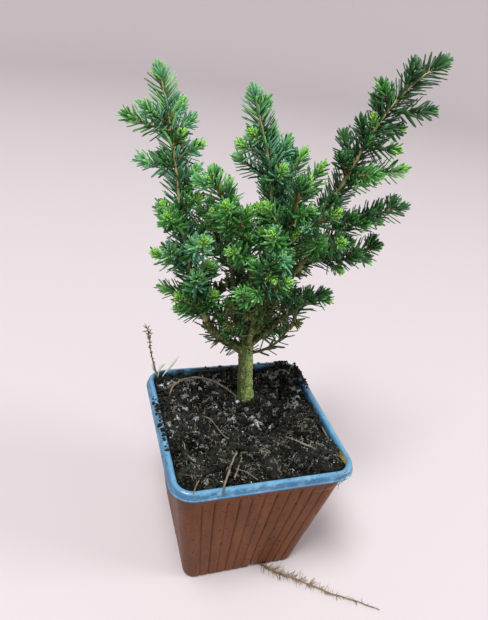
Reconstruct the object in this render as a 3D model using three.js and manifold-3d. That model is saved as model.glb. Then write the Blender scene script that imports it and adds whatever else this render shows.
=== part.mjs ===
// A young dwarf conifer in a square two-colour nursery pot.
// Millimetres, +Z up. The origin is the middle of the pot's flat underside,
// and the pot's sides run along X and Y.
import * as THREE from 'three';
import { mergeVertices } from 'three/addons/utils/BufferGeometryUtils.js';
import Module from 'manifold-3d';

const wasm = await Module();
wasm.setup();

// Clear gap kept wherever two separate pieces meet.
const seam = 0.3;

// The pot: a thin tapered square tub with pleated walls and a rolled rim.
const pot = {
  height: 82,
  rimWidth: 90,
  rimHeight: 4,
  rimLip: 0.6,
  wallTopWidth: 84,
  wallBaseWidth: 61,
  wallThickness: 1.1,
  floorThickness: 1.5,
  rimCornerRadius: 11,
  grooves: 11,
  groovePitch: 6.2,
  grooveWidth: 1.6,
  grooveDepth: 0.55,
  plainBand: 7,
  drainHoleRadius: 2,
  drainHoleInset: 17,
  slotWidth: 9,
  slotHeight: 3,
  slotDepth: 7,
};
const wallHeight = pot.height - pot.rimHeight;

// The peat: it stands highest at the front right corner, lowest behind,
// and is drawn up in a low mound round the trunk.
const soil = {
  level: 77.7,
  riseToFront: 1.6,
  riseToRight: 0.9,
  clod: 0.9,
  moundHeight: 1.8,
  moundRadius: 13,
  seatRadius: 6.4,
};

// Where the trunk leaves the peat.
const foot = new THREE.Vector3(5.5, 16.5, 78);

// Needles are flat and blunt in life; here each spike stands for a few of them.
// A twig is cut into short cells, and most of its faces are drawn out into a needle.
const needle = {
  length: 7.8,
  halfThickness: 0.6,
  spread: 56,
  tipSpread: 24,
  twist: 50,
};
const cells = {
  shoot: { sides: 3, length: 4.2, firstNeedle: 0.2, share: 0.8 },
  stem: { sides: 5, length: 6, firstNeedle: 0.1, share: 0.4 },
};

// Side shoots that the rule adds between the ones placed by hand.
const fillShoot = {
  length: 17,
  lean: 52,
  first: 0.1,
  last: 0.93,
  turn: 137.5,
};
const shootRadius = { base: 0.95, tip: 0.55 };

// Clear space kept between one mass and another, axis to axis.
const clearSpace = { twigs: 3.2, needles: 2.2, ownTwigs: 1.4, limbs: 0.6, soil: 1.5 };

// Every limb leaves its carrier at a height above the peat. Its tip lies so far out
// (reach) toward a bearing and so far up (rise). Bearings are degrees from +X toward +Y.
// leave and arrive are the bearing and pitch of its two ends, and radius its two radii.
const limbs = {
  trunk: { reach: 3, bearing: 162, rise: 63, leave: [150, 84], arrive: [338, 81], radius: [4.1, 3.2] },
  middle_bough: {
    reach: 4, bearing: 56, rise: 22, leave: [338, 81], arrive: [42, 79], radius: [2.5, 2.1],
  },
  left_bough: {
    from: 33, reach: 22, bearing: 171, rise: 16.5, leave: [165, 18], arrive: [178, 64], radius: [2.5, 2.1],
  },
  right_bough: {
    from: 57, reach: 24, bearing: 2, rise: 43, leave: [6, 50], arrive: [358, 62], radius: [2.7, 2.3],
  },
  mid_left_bough: {
    from: 52, reach: 7, bearing: 215, rise: 33, leave: [215, 50], arrive: [195, 74], radius: [1.8, 1.5],
  },
  right_low_bough: {
    from: 46, reach: 20, bearing: 350, rise: 38, leave: [345, 40], arrive: [2, 52], radius: [1.9, 1.6],
  },
  right_out_bough: {
    from: 42, reach: 27, bearing: 10, rise: 38, leave: [30, 48], arrive: [358, 20], radius: [1.8, 1.5],
  },
  front_bough: {
    from: 44, reach: 8, bearing: 300, rise: 29, leave: [290, 35], arrive: [288, 78], radius: [1.8, 1.5],
  },
  centre_front_bough: {
    from: 38, reach: 11, bearing: 258, rise: 29, leave: [258, 35], arrive: [256, 60], radius: [1.7, 1.4],
  },
  low_front_right_bough: {
    from: 37, reach: 15, bearing: 322, rise: 20, leave: [325, 35], arrive: [326, 50], radius: [1.6, 1.3],
  },
  back_left_bough: {
    from: 40, reach: 15, bearing: 118, rise: 27, leave: [118, 38], arrive: [112, 65], radius: [1.9, 1.6],
  },
  back_right_bough: {
    from: 45, reach: 15, bearing: 62, rise: 27, leave: [62, 38], arrive: [58, 62], radius: [1.9, 1.6],
  },
};

// Each mass grows on from its bough's tip, or straight from the trunk at a height.
// side lists its telling shoots: [share along the stem, bearing, pitch, length];
// fill is how many more the rule sets between them.
const masses = {
  left_mass: {
    bough: 'left_bough', reach: 33, bearing: 140, rise: 108, arrive: [146, 70],
    radius: [1.8, 0.9], fill: 11, seed: 12,
    side: [
      [0.03, 169, 12, 13], [0.04, 276, 56, 20], [0.07, 206, 34, 17], [0.12, 166, 12, 16],
      [0.13, 254, 50, 23], [0.17, 300, 62, 17], [0.27, 183, 22, 17], [0.28, 222, 37, 19],
      [0.31, 274, 38, 29], [0.42, 236, 34, 23], [0.43, 184, 48, 14], [0.5, 293, 40, 16],
      [0.59, 316, 50, 12], [0.67, 189, 11, 15], [0.7, 333, 36, 13], [0.79, 13, 32, 10],
      [0.8, 184, 16, 19], [0.82, 211, 29, 15], [0.84, 0, 55, 9],
    ],
  },
  mid_left_mass: {
    bough: 'mid_left_bough', reach: 21, bearing: 175, rise: 40, arrive: [177, 72],
    radius: [1.3, 0.7], fill: 5, seed: 23,
    side: [
      [0.04, 222, 28, 21], [0.12, 100, 70, 12], [0.35, 214, 27, 12], [0.4, 340, 68, 10],
      [0.54, 185, 18, 9], [0.87, 189, 37, 6],
    ],
  },
  middle_mass: {
    bough: 'middle_bough', reach: 16, bearing: 146, rise: 69, arrive: [162, 67],
    radius: [1.9, 0.9], fill: 9, seed: 37,
    side: [
      [0.05, 232, 43, 17], [0.15, 338, 62, 38], [0.22, 201, 41, 11], [0.27, 2, 70, 30],
      [0.46, 272, 46, 14], [0.54, 27, 58, 15], [0.62, 66, 66, 12], [0.65, 185, 17, 14],
      [0.73, 210, 24, 10],
    ],
  },
  right_mass: {
    bough: 'right_bough', reach: 42, bearing: 358, rise: 75, arrive: [352, 32],
    radius: [2, 0.9], fill: 9, seed: 41,
    side: [
      [0.08, 255, 48, 15], [0.3, 205, 51, 11], [0.31, 292, 17, 15], [0.33, 346, 8, 24],
      [0.46, 327, 7, 14], [0.47, 195, 62, 11], [0.58, 10, -6, 14], [0.67, 347, 4, 18],
      [0.68, 174, 55, 10], [0.79, 250, 79, 10],
    ],
  },
  right_low_mass: {
    bough: 'right_low_bough', reach: 43, bearing: 356, rise: 30, arrive: [351, 16],
    radius: [1.4, 0.7], fill: 6, seed: 53,
    side: [[0.13, 245, 34, 26], [0.2, 268, 30, 24], [0.42, 285, 58, 11], [0.5, 5, 30, 9]],
  },
  right_out_mass: {
    bough: 'right_out_bough', reach: 34, bearing: 356, rise: 10, arrive: [348, 30],
    radius: [1.3, 0.7], fill: 6, seed: 67, side: [[0.2, 320, 22, 17], [0.35, 35, 24, 15]],
  },
  front_mass: {
    bough: 'front_bough', reach: 11, bearing: 275, rise: 54, arrive: [222, 84],
    radius: [1.3, 0.7], fill: 6, seed: 71, side: [[0.42, 228, 35, 22], [0.58, 299, 39, 27]],
  },
  centre_front_mass: {
    bough: 'centre_front_bough', reach: 20, bearing: 257, rise: 31, arrive: [252, 46],
    radius: [1.2, 0.7], fill: 6, seed: 83, side: [[0.1, 215, 30, 17], [0.3, 292, 38, 19]],
  },
  low_front_right_mass: {
    bough: 'low_front_right_bough', reach: 17, bearing: 332, rise: 18, arrive: [335, 30],
    radius: [1.1, 0.7], fill: 5, seed: 97, side: [[0.1, 345, -8, 13], [0.3, 300, 24, 12]],
  },
  back_left_mass: {
    bough: 'back_left_bough', reach: 26, bearing: 122, rise: 26, arrive: [126, 40],
    radius: [1.3, 0.7], fill: 9, seed: 101, side: [],
  },
  back_right_mass: {
    bough: 'back_right_bough', reach: 22, bearing: 60, rise: 40, arrive: [62, 60],
    radius: [1.3, 0.7], fill: 9, seed: 113, side: [],
  },
  back_low_mass: {
    from: 36, reach: 28, bearing: 88, rise: 32, leave: [88, 34], arrive: [86, 56],
    radius: [1.3, 0.7], fill: 8, seed: 127, side: [],
  },
  front_left_mass: {
    from: 47, reach: 17, bearing: 238, rise: 25, leave: [238, 38], arrive: [232, 58],
    radius: [1.1, 0.7], fill: 6, seed: 151, side: [],
  },
  low_back_left_mass: {
    from: 38, reach: 25, bearing: 150, rise: 25, leave: [146, 30], arrive: [154, 55],
    radius: [1.1, 0.7], fill: 7, seed: 157, side: [],
  },
  low_back_right_mass: {
    from: 34, reach: 27, bearing: 38, rise: 26, leave: [40, 30], arrive: [36, 50],
    radius: [1.1, 0.7], fill: 7, seed: 163, side: [],
  },
  inner_left_mass: {
    from: 41, reach: 17, bearing: 205, rise: 25, leave: [205, 36], arrive: [205, 62],
    radius: [1.1, 0.7], fill: 8, seed: 139, side: [],
  },
  inner_right_mass: {
    from: 40, reach: 24, bearing: 2, rise: 20, leave: [352, 34], arrive: [8, 38],
    radius: [1.1, 0.7], fill: 6, seed: 149, side: [],
  },
  low_right_mass: {
    from: 31, reach: 22, bearing: 318, rise: 39, leave: [338, 14], arrive: [302, 88],
    radius: [1, 0.6], fill: 2, seed: 131, side: [],
  },
};

// A stray feeding root has crept out of the front drain slot and lies in front of the pot.
const strayRoot = { x: 9, y: -28.4, reach: 69, bearing: 325, bow: 3, radius: [0.55, 0.3] };

// Repeatable random numbers between 0 and 1.
function seeded(seed) {
  let state = seed;
  return () => {
    state = (state * 1664525 + 1013904223) % 4294967296;
    return state / 4294967296;
  };
}

// The unit vector that points to a bearing and a pitch, both in degrees.
function direction([bearing, pitch]) {
  const turn = THREE.MathUtils.degToRad(bearing);
  const lift = THREE.MathUtils.degToRad(pitch);
  return new THREE.Vector3(
    Math.cos(turn) * Math.cos(lift), Math.sin(turn) * Math.cos(lift), Math.sin(lift),
  );
}

// The axis of a limb from its base, worked out from its reach, rise and end directions.
function limbAxis(base, limb) {
  const handle = 0.36;
  const tip = direction([limb.bearing, 0]).multiplyScalar(limb.reach).add(base);
  tip.z += limb.rise;
  const span = base.distanceTo(tip) * handle;
  const nearBase = direction(limb.leave).multiplyScalar(span).add(base);
  const nearTip = direction(limb.arrive).multiplyScalar(-span).add(tip);
  return new THREE.CubicBezierCurve3(base, nearBase, nearTip, tip);
}

// The axis of a side shoot, which leaves flat and turns up a little toward its tip.
function shootAxis(base, bearing, pitch, length) {
  const upturn = 0.06 * length;
  const tip = direction([bearing, pitch]).multiplyScalar(length).add(base);
  const middle = base.clone().lerp(tip, 0.5);
  middle.z -= upturn;
  return new THREE.QuadraticBezierCurve3(base, middle, tip);
}

// A tapering limb: a cylinder bent along its axis. flare swells its foot, and twist
// turns each ring of it a little further than the last.
function taperedLimb(axis, [baseRadius, tipRadius], sides, steps, flare = 0, twist = 0) {
  const shape = new THREE.CylinderGeometry(1, 1, 1, sides, steps);
  const frames = axis.computeFrenetFrames(steps, false);
  const points = axis.getSpacedPoints(steps);
  const place = shape.attributes.position;
  for (let i = 0; i < place.count; i += 1) {
    const step = Math.round((place.getY(i) + 0.5) * steps);
    const share = step / steps;
    const radius = THREE.MathUtils.lerp(baseRadius, tipRadius, share) + flare * Math.exp(-12 * share);
    const ringX = new THREE.Vector2(place.getX(i), -place.getZ(i)).rotateAround(new THREE.Vector2(), twist * step);
    const vertex = points[step].clone();
    vertex.addScaledVector(frames.normals[step], ringX.x * radius);
    vertex.addScaledVector(frames.binormals[step], ringX.y * radius);
    place.setXYZ(i, vertex.x, vertex.y, vertex.z);
  }
  return shape;
}

// A closed mesh as a solid that can be joined and cut.
function solid(geometry) {
  const bare = geometry.clone();
  bare.deleteAttribute('normal');
  bare.deleteAttribute('uv');
  const merged = mergeVertices(bare, 1e-4);
  const mesh = new wasm.Mesh({
    numProp: 3,
    vertProperties: new Float32Array(merged.attributes.position.array),
    triVerts: new Uint32Array(merged.index.array),
  });
  return new wasm.Manifold(mesh);
}

// The largest whole body of a solid, with loose scraps and sealed hollows left out.
function mainBody(shape) {
  const bodies = shape.decompose();
  return bodies.reduce((best, body) => (body.volume() > best.volume() ? body : best));
}

// A solid back as a mesh, with the finest slivers along its cuts closed up.
function geometryOf(shape) {
  const mesh = mainBody(mainBody(shape).simplify(seam / 10)).getMesh();
  const geometry = new THREE.BufferGeometry();
  geometry.setAttribute('position', new THREE.BufferAttribute(mesh.vertProperties, 3));
  geometry.setIndex(new THREE.BufferAttribute(mesh.triVerts, 1));
  geometry.computeVertexNormals();
  return geometry;
}

// How far the outline of a rounded square lies from the axis, toward an angle.
function squareReach(angle, halfWidth, cornerRadius) {
  const across = Math.abs(Math.cos(angle));
  const along = Math.abs(Math.sin(angle));
  const centre = halfWidth - cornerRadius;
  const flat = halfWidth / Math.max(across, along);
  if (Math.min(across, along) * flat <= centre) return flat;
  const toCorner = centre * (across + along);
  const spare = toCorner * toCorner - 2 * centre * centre + cornerRadius * cornerRadius;
  return toCorner + Math.sqrt(spare);
}

// A lathed profile of half widths and heights, pressed into a rounded square.
// The segments crowd toward the corners, where the outline bends.
function squaredLathe(profile, segments, cornerRadius) {
  const crowding = 0.17;
  const shape = new THREE.LatheGeometry(profile, segments);
  shape.rotateX(Math.PI / 2);
  const place = shape.attributes.position;
  for (let i = 0; i < place.count; i += 1) {
    const halfWidth = Math.hypot(place.getX(i), place.getY(i));
    const even = Math.atan2(place.getY(i), place.getX(i));
    const angle = even + crowding * Math.sin(4 * even);
    const reach = halfWidth > 0 ? squareReach(angle, halfWidth, cornerRadius(halfWidth)) : 0;
    place.setXY(i, Math.cos(angle) * reach, Math.sin(angle) * reach);
  }
  return shape;
}

// Half of the pot's plain outer width at a height on the wall.
function wallHalfWidth(z) {
  return THREE.MathUtils.lerp(pot.wallBaseWidth, pot.wallTopWidth, z / wallHeight) / 2;
}

// The corner radius of any outline that runs even with the rim's outer edge.
function rimCorner(halfWidth) {
  return Math.max(pot.rimCornerRadius - (pot.rimWidth / 2 - halfWidth), 0.1 * halfWidth);
}

// The outline of the wall at its top: four faces with or without grooves, and round corners.
function wallOutline(halfWidth, cornerRadius, grooveDepth) {
  const cornerSteps = 4;
  const points = [];
  for (let face = 0; face < 4; face += 1) {
    const turn = (face * Math.PI) / 2;
    const add = (x, y) => points.push(new THREE.Vector2(x, y).rotateAround(new THREE.Vector2(), turn));
    for (let k = 0; grooveDepth > 0 && k < pot.grooves; k += 1) {
      const middle = (k - (pot.grooves - 1) / 2) * pot.groovePitch;
      add(halfWidth, middle - pot.grooveWidth / 2);
      add(halfWidth - grooveDepth, middle);
      add(halfWidth, middle + pot.grooveWidth / 2);
    }
    for (let step = 0; step <= cornerSteps; step += 1) {
      const angle = (step / cornerSteps) * (Math.PI / 2);
      const centre = halfWidth - cornerRadius;
      add(centre + Math.cos(angle) * cornerRadius, centre + Math.sin(angle) * cornerRadius);
    }
  }
  return new THREE.Shape(points);
}

// An outline raised into a tapered block between two or more heights.
function taperedBlock(outline, levels) {
  const steps = levels.length - 1;
  const shape = new THREE.ExtrudeGeometry(outline, { depth: 1, steps, bevelEnabled: false });
  const place = shape.attributes.position;
  for (let i = 0; i < place.count; i += 1) {
    const z = levels[Math.round(place.getZ(i) * steps)];
    const scale = wallHalfWidth(z) / wallHalfWidth(wallHeight);
    place.setXYZ(i, place.getX(i) * scale, place.getY(i) * scale, z);
  }
  return shape;
}

// The pleated wall with its floor, drain holes, and a drain slot under each face.
function potWall() {
  const halfTop = pot.wallTopWidth / 2;
  const corner = rimCorner(halfTop);
  const pleats = wallOutline(halfTop, corner, pot.grooveDepth);
  const plain = wallOutline(halfTop, corner, 0);
  const inside = wallOutline(halfTop - pot.wallThickness, corner - pot.wallThickness, 0);
  const pleatTop = wallHeight - pot.plainBand;
  let wall = solid(taperedBlock(pleats, [0, pleatTop]));
  wall = wall.add(solid(taperedBlock(plain, [pleatTop, wallHeight])));
  wall = wall.subtract(solid(taperedBlock(inside, [pot.floorThickness, wallHeight + 1])));
  for (let k = 0; k < 4; k += 1) {
    const quarter = (k * Math.PI) / 2;
    const hole = new THREE.CylinderGeometry(pot.drainHoleRadius, pot.drainHoleRadius, 8, 12);
    hole.rotateX(Math.PI / 2);
    hole.translate(pot.drainHoleInset, pot.drainHoleInset, 0);
    hole.rotateZ(quarter);
    const slot = new THREE.BoxGeometry(pot.slotDepth, pot.slotWidth, 2 * pot.slotHeight);
    slot.translate(pot.wallBaseWidth / 2, pot.slotWidth, 0);
    slot.rotateZ(quarter - Math.PI / 2);
    wall = wall.subtract(solid(hole)).subtract(solid(slot));
  }
  return geometryOf(wall);
}

// The rolled rim: a bead with a round top and a thin lip round its lower edge.
function potRim() {
  const outer = pot.rimWidth / 2 - pot.rimLip;
  const inner = pot.wallTopWidth / 2 - pot.wallThickness;
  const lipHeight = 0.7;
  const profile = [new THREE.Vector2(inner, wallHeight), new THREE.Vector2(outer + pot.rimLip, wallHeight)];
  profile.push(new THREE.Vector2(outer + pot.rimLip, wallHeight + lipHeight));
  const middle = (outer + inner) / 2;
  const halfBead = (outer - inner) / 2;
  const roundHeight = 2;
  const roundSteps = 4;
  for (let step = 0; step <= roundSteps; step += 1) {
    const angle = (step / roundSteps) * Math.PI;
    const across = middle + Math.cos(angle) * halfBead;
    profile.push(new THREE.Vector2(across, pot.height - roundHeight + Math.sin(angle) * roundHeight));
  }
  profile.push(profile[0].clone());
  return squaredLathe(profile, 36, rimCorner);
}

// How far a clod stands above or below the even fall of the peat.
function clodHeight(x, y) {
  const broad = Math.sin(x * 0.16 + 1.3) * Math.cos(y * 0.19 - 0.4);
  const fine = Math.sin(x * 0.43 - y * 0.27) * Math.cos(y * 0.37 + x * 0.11);
  return soil.clod * (0.7 * broad + 0.5 * fine);
}

// The peat fills the pot and is lumpy on top, with a flat seat under the trunk.
function soilFill() {
  const bottom = pot.floorThickness + seam;
  const wallInset = pot.wallThickness + seam;
  const shoulder = wallHeight - 6;
  const topHalf = wallHalfWidth(shoulder) - wallInset;
  const profile = [
    new THREE.Vector2(0, bottom),
    new THREE.Vector2(wallHalfWidth(bottom) - wallInset, bottom),
    new THREE.Vector2(topHalf, shoulder),
  ];
  for (const share of [1, 0.84, 0.66, 0.46, 0.24, 0]) profile.push(new THREE.Vector2(topHalf * share, soil.level));
  const corner = (halfWidth) => rimCorner(pot.wallTopWidth / 2 - wallInset) * (halfWidth / topHalf);
  const shape = squaredLathe(profile, 44, corner);
  const place = shape.attributes.position;
  for (let i = 0; i < place.count; i += 1) {
    const x = place.getX(i);
    const y = place.getY(i);
    const slope = (soil.riseToRight * x - soil.riseToFront * y) / topHalf;
    const fromFoot = Math.hypot(x - foot.x, y - foot.y) / soil.moundRadius;
    const mound = soil.moundHeight * Math.exp(-fromFoot * fromFoot);
    if (place.getZ(i) > shoulder) place.setZ(i, soil.level + slope + mound + clodHeight(x, y));
  }
  const seatDepth = 10;
  const seat = new THREE.CylinderGeometry(soil.seatRadius, soil.seatRadius, seatDepth, 20);
  seat.rotateX(Math.PI / 2);
  seat.translate(foot.x, foot.y, foot.z - seam + seatDepth / 2);
  return geometryOf(solid(shape).subtract(solid(seat)));
}

// The stray root, lying on the surface that the pot stands on.
function strayRootShape() {
  const [baseRadius] = strayRoot.radius;
  const base = new THREE.Vector3(strayRoot.x, strayRoot.y, baseRadius + 0.1);
  const tip = direction([strayRoot.bearing, 0]).multiplyScalar(strayRoot.reach).add(base);
  const middle = base.clone().lerp(tip, 0.3);
  middle.y -= strayRoot.bow;
  const axis = new THREE.QuadraticBezierCurve3(base, middle, tip);
  return taperedLimb(axis, strayRoot.radius, 6, 12);
}

// The trunk swells to its root flare and is cut level where it leaves the peat.
const rootFlare = 1.6;
function trunkShape(axis, radius) {
  const shape = taperedLimb(axis, radius, 12, 9, rootFlare);
  const place = shape.attributes.position;
  for (let i = 0; i < place.count; i += 1) {
    if (place.getZ(i) < foot.z + rootFlare) place.setZ(i, foot.z);
  }
  return shape;
}

// Limbs first: axis and radii of each, and the fattened copies that cut a clear seam.
const grown = {};
function growLimb(name, limb) {
  const trunkAxis = grown.trunk?.axis;
  let base = foot;
  if (name === 'middle_bough') base = trunkAxis.getPoint(1).addScaledVector(trunkAxis.getTangent(1), seam);
  else if (limb.from) base = trunkAxis.getPoint(limb.from / limbs.trunk.rise);
  const axis = limbAxis(base, limb);
  const shapeOf = (radius) => (name === 'trunk' ? trunkShape(axis, radius) : taperedLimb(axis, radius, 6, 4));
  const fat = limb.radius.map((radius) => radius + seam);
  grown[name] = { axis, radius: limb.radius, shape: solid(shapeOf(limb.radius)), fatShape: solid(shapeOf(fat)) };
}
for (const [name, limb] of Object.entries(limbs)) growLimb(name, limb);

// A bough is cut back wherever an earlier limb already stands, by the seam's width.
const limbNames = Object.keys(limbs);
for (const [order, name] of limbNames.entries()) {
  for (const earlier of limbNames.slice(0, order)) {
    if (earlier === 'trunk' && name === 'middle_bough') continue;
    grown[name].shape = mainBody(grown[name].shape.subtract(grown[earlier].fatShape));
  }
}

// Straight pieces of an axis, for measuring how near things pass.
function pieces(axis, [baseRadius, tipRadius], count) {
  const points = axis.getSpacedPoints(count);
  return points.slice(1).map((end, i) => ({
    axis,
    line: new THREE.Line3(points[i], end),
    radius: THREE.MathUtils.lerp(baseRadius, tipRadius, i / count),
  }));
}

// The clear distance from a point to the nearest of some pieces.
function clearance(point, nearPieces, countRadius) {
  const nearest = new THREE.Vector3();
  let least = Infinity;
  for (const piece of nearPieces) {
    piece.line.closestPointToPoint(point, true, nearest);
    least = Math.min(least, nearest.distanceTo(point) - (countRadius ? piece.radius : 0));
  }
  return least;
}
const limbPieces = limbNames.flatMap((name) => pieces(grown[name].axis, grown[name].radius, 12));

// Stems of the masses: each starts a seam beyond its bough's tip, or on the trunk.
for (const mass of Object.values(masses)) {
  let base;
  if (mass.bough) {
    const bough = grown[mass.bough].axis;
    base = bough.getPoint(1).addScaledVector(bough.getTangent(1), seam);
    mass.leave = limbs[mass.bough].arrive;
  } else {
    base = grown.trunk.axis.getPoint(mass.from / limbs.trunk.rise);
  }
  const axis = limbAxis(base, mass);
  mass.twigs = [{ axis, radius: mass.radius, length: axis.getLength(), isStem: true }];
  mass.pieces = pieces(axis, mass.radius, 16);
}

// True where a twig keeps clear of the limbs, the peat and every other mass.
function twigIsFree(mass, axis) {
  const others = Object.values(masses).filter((other) => other !== mass);
  return axis.getSpacedPoints(5).slice(1).every((point) => (
    point.z > foot.z + clearSpace.soil + shootRadius.base
    && clearance(point, limbPieces, true) > clearSpace.limbs + shootRadius.base
    && others.every((other) => clearance(point, other.pieces, true) > clearSpace.twigs - shootRadius.base)
  ));
}

function addShoot(mass, axis) {
  if (!twigIsFree(mass, axis)) return;
  const radius = [shootRadius.base, shootRadius.tip];
  mass.twigs.push({ axis, radius, length: axis.getLength(), isStem: false });
  mass.pieces.push(...pieces(axis, radius, 4));
}

// The telling shoots of every mass come first, and the rule's shoots fill in between.
for (const mass of Object.values(masses)) {
  const stem = mass.twigs[0].axis;
  for (const [share, bearing, pitch, length] of mass.side) {
    addShoot(mass, shootAxis(stem.getPoint(share), bearing, pitch, length));
  }
}

// A direction that leans away from an axis, turned round it.
function leaning(tangent, turn, lean) {
  const level = new THREE.Vector3(-tangent.y, tangent.x, 0).normalize();
  const upright = new THREE.Vector3().crossVectors(tangent, level);
  const spoke = level.multiplyScalar(Math.cos(turn)).addScaledVector(upright, Math.sin(turn));
  return spoke.multiplyScalar(Math.sin(lean)).addScaledVector(tangent, Math.cos(lean));
}

function addFillShoots(mass) {
  const random = seeded(mass.seed);
  const stem = mass.twigs[0].axis;
  const startTurn = random() * 2 * Math.PI;
  for (let k = 0; k < mass.fill; k += 1) {
    const along = (k + 0.3 + 0.4 * random()) / mass.fill;
    const share = THREE.MathUtils.lerp(fillShoot.first, fillShoot.last, along);
    const turn = startTurn + k * THREE.MathUtils.degToRad(fillShoot.turn);
    const lean = THREE.MathUtils.degToRad(fillShoot.lean + 16 * (random() - 0.5));
    const length = fillShoot.length * (1.15 - 0.6 * along) * (0.8 + 0.4 * random());
    const base = stem.getPoint(share);
    const way = leaning(stem.getTangent(share), turn, lean);
    const bearing = THREE.MathUtils.radToDeg(Math.atan2(way.y, way.x));
    const pitch = THREE.MathUtils.radToDeg(Math.asin(way.z));
    addShoot(mass, shootAxis(base, bearing, pitch, length));
  }
}
Object.values(masses).forEach(addFillShoots);

// A needle is free where all of it is nearer to its own mass than to any other,
// and where it doesn't run into another twig of its own mass.
function needleIsFree(mass, twig, start, way, length) {
  const others = Object.values(masses).filter((other) => other !== mass);
  const ownTwigs = mass.pieces.filter((piece) => piece.axis !== twig.axis);
  return [0.35, 0.7, 1].every((share) => {
    const point = start.clone().addScaledVector(way, share * length);
    if (clearance(point, ownTwigs, true) < clearSpace.ownTwigs) return false;
    if (point.z < foot.z + clearSpace.soil) return false;
    if (clearance(point, limbPieces, true) < clearSpace.limbs + needle.halfThickness) return false;
    const own = clearance(point, mass.pieces, false) + clearSpace.needles;
    return others.every((other) => clearance(point, other.pieces, false) > own);
  });
}

// A twig with its needles: a slim twisted prism whose faces rise to spikes.
// The middle of its end cap is drawn out too, which closes the tuft at the tip.
function needledTwig(mass, twig, random) {
  const kind = twig.isStem ? cells.stem : cells.shoot;
  const steps = Math.max(3, Math.round(twig.length / kind.length));
  const twist = THREE.MathUtils.degToRad(needle.twist);
  const shape = taperedLimb(twig.axis, twig.radius, kind.sides, steps, 0, twist);
  const place = Array.from(shape.attributes.position.array);
  const index = Array.from(shape.index.array);
  const corner = (i) => new THREE.Vector3().fromArray(place, 3 * i);
  const cellCount = kind.sides * steps;
  const faces = index.slice(6 * cellCount);
  for (let cell = 0; cell < cellCount; cell += 1) {
    const [a, b, d, , c] = index.slice(6 * cell, 6 * cell + 6);
    const share = 1 - ((cell % steps) + 0.5) / steps;
    const start = corner(a).add(corner(b)).add(corner(c)).add(corner(d)).multiplyScalar(0.25);
    const tangent = twig.axis.getTangentAt(share);
    const outward = start.clone().sub(twig.axis.getPointAt(share));
    outward.addScaledVector(tangent, -outward.dot(tangent)).normalize();
    const spread = THREE.MathUtils.lerp(needle.spread, needle.tipSpread, share ** 3) + 12 * (random() - 0.5);
    const lean = THREE.MathUtils.degToRad(spread);
    const way = outward.multiplyScalar(Math.sin(lean)).addScaledVector(tangent, Math.cos(lean));
    const length = needle.length * (0.85 + 0.3 * random()) * (1.05 - 0.2 * share);
    const wanted = share > kind.firstNeedle && random() < kind.share;
    if (wanted && needleIsFree(mass, twig, start, way, length)) {
      const apex = place.length / 3;
      place.push(...start.addScaledVector(way, length).toArray());
      faces.push(a, b, apex, b, c, apex, c, d, apex, d, a, apex);
    } else {
      faces.push(a, b, d, b, c, d);
    }
  }
  const tip = twig.axis.getPoint(1);
  for (let i = 0; i < shape.attributes.position.count; i += 1) {
    if (corner(i).distanceTo(tip) > 1e-3) continue;
    const end = corner(i).addScaledVector(twig.axis.getTangent(1), 0.6 * needle.length);
    end.toArray(place, 3 * i);
  }
  const geometry = new THREE.BufferGeometry();
  geometry.setAttribute('position', new THREE.Float32BufferAttribute(place, 3));
  geometry.setIndex(faces);
  return geometry;
}

// A whole mass as one solid: its stem and its side shoots, with their needles, joined.
function massShape(mass) {
  const random = seeded(mass.seed + 1);
  const parts = mass.twigs.map((twig) => solid(needledTwig(mass, twig, random)));
  let shape = parts.reduce((whole, part) => whole.add(part));
  if (!mass.bough) shape = shape.subtract(grown.trunk.fatShape);
  return geometryOf(shape);
}

const colours = {
  wall: new THREE.MeshStandardMaterial({ color: 0x8a3f2b, roughness: 0.62, metalness: 0 }),
  rim: new THREE.MeshStandardMaterial({ color: 0x4f6f96, roughness: 0.4, metalness: 0 }),
  soil: new THREE.MeshStandardMaterial({ color: 0x2a221e, roughness: 0.95, metalness: 0 }),
  bark: new THREE.MeshStandardMaterial({ color: 0x6f6244, roughness: 0.85, metalness: 0 }),
  root: new THREE.MeshStandardMaterial({ color: 0x6a4a34, roughness: 0.85, metalness: 0 }),
  needles: new THREE.MeshStandardMaterial({ color: 0x2f6b4c, roughness: 0.55, metalness: 0 }),
};

const plant = new THREE.Group();
function addPiece(name, geometry, material) {
  const piece = new THREE.Mesh(geometry, material);
  piece.name = name;
  plant.add(piece);
}

addPiece('pot_wall', potWall(), colours.wall);
addPiece('pot_rim', potRim(), colours.rim);
addPiece('soil', soilFill(), colours.soil);
addPiece('stray_root', strayRootShape(), colours.root);
for (const name of limbNames) addPiece(name, geometryOf(grown[name].shape), colours.bark);
for (const [name, mass] of Object.entries(masses)) addPiece(name, massShape(mass), colours.needles);

export default plant;
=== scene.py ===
import math
import bpy
import numpy as np
from mathutils import Matrix, Vector


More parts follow.
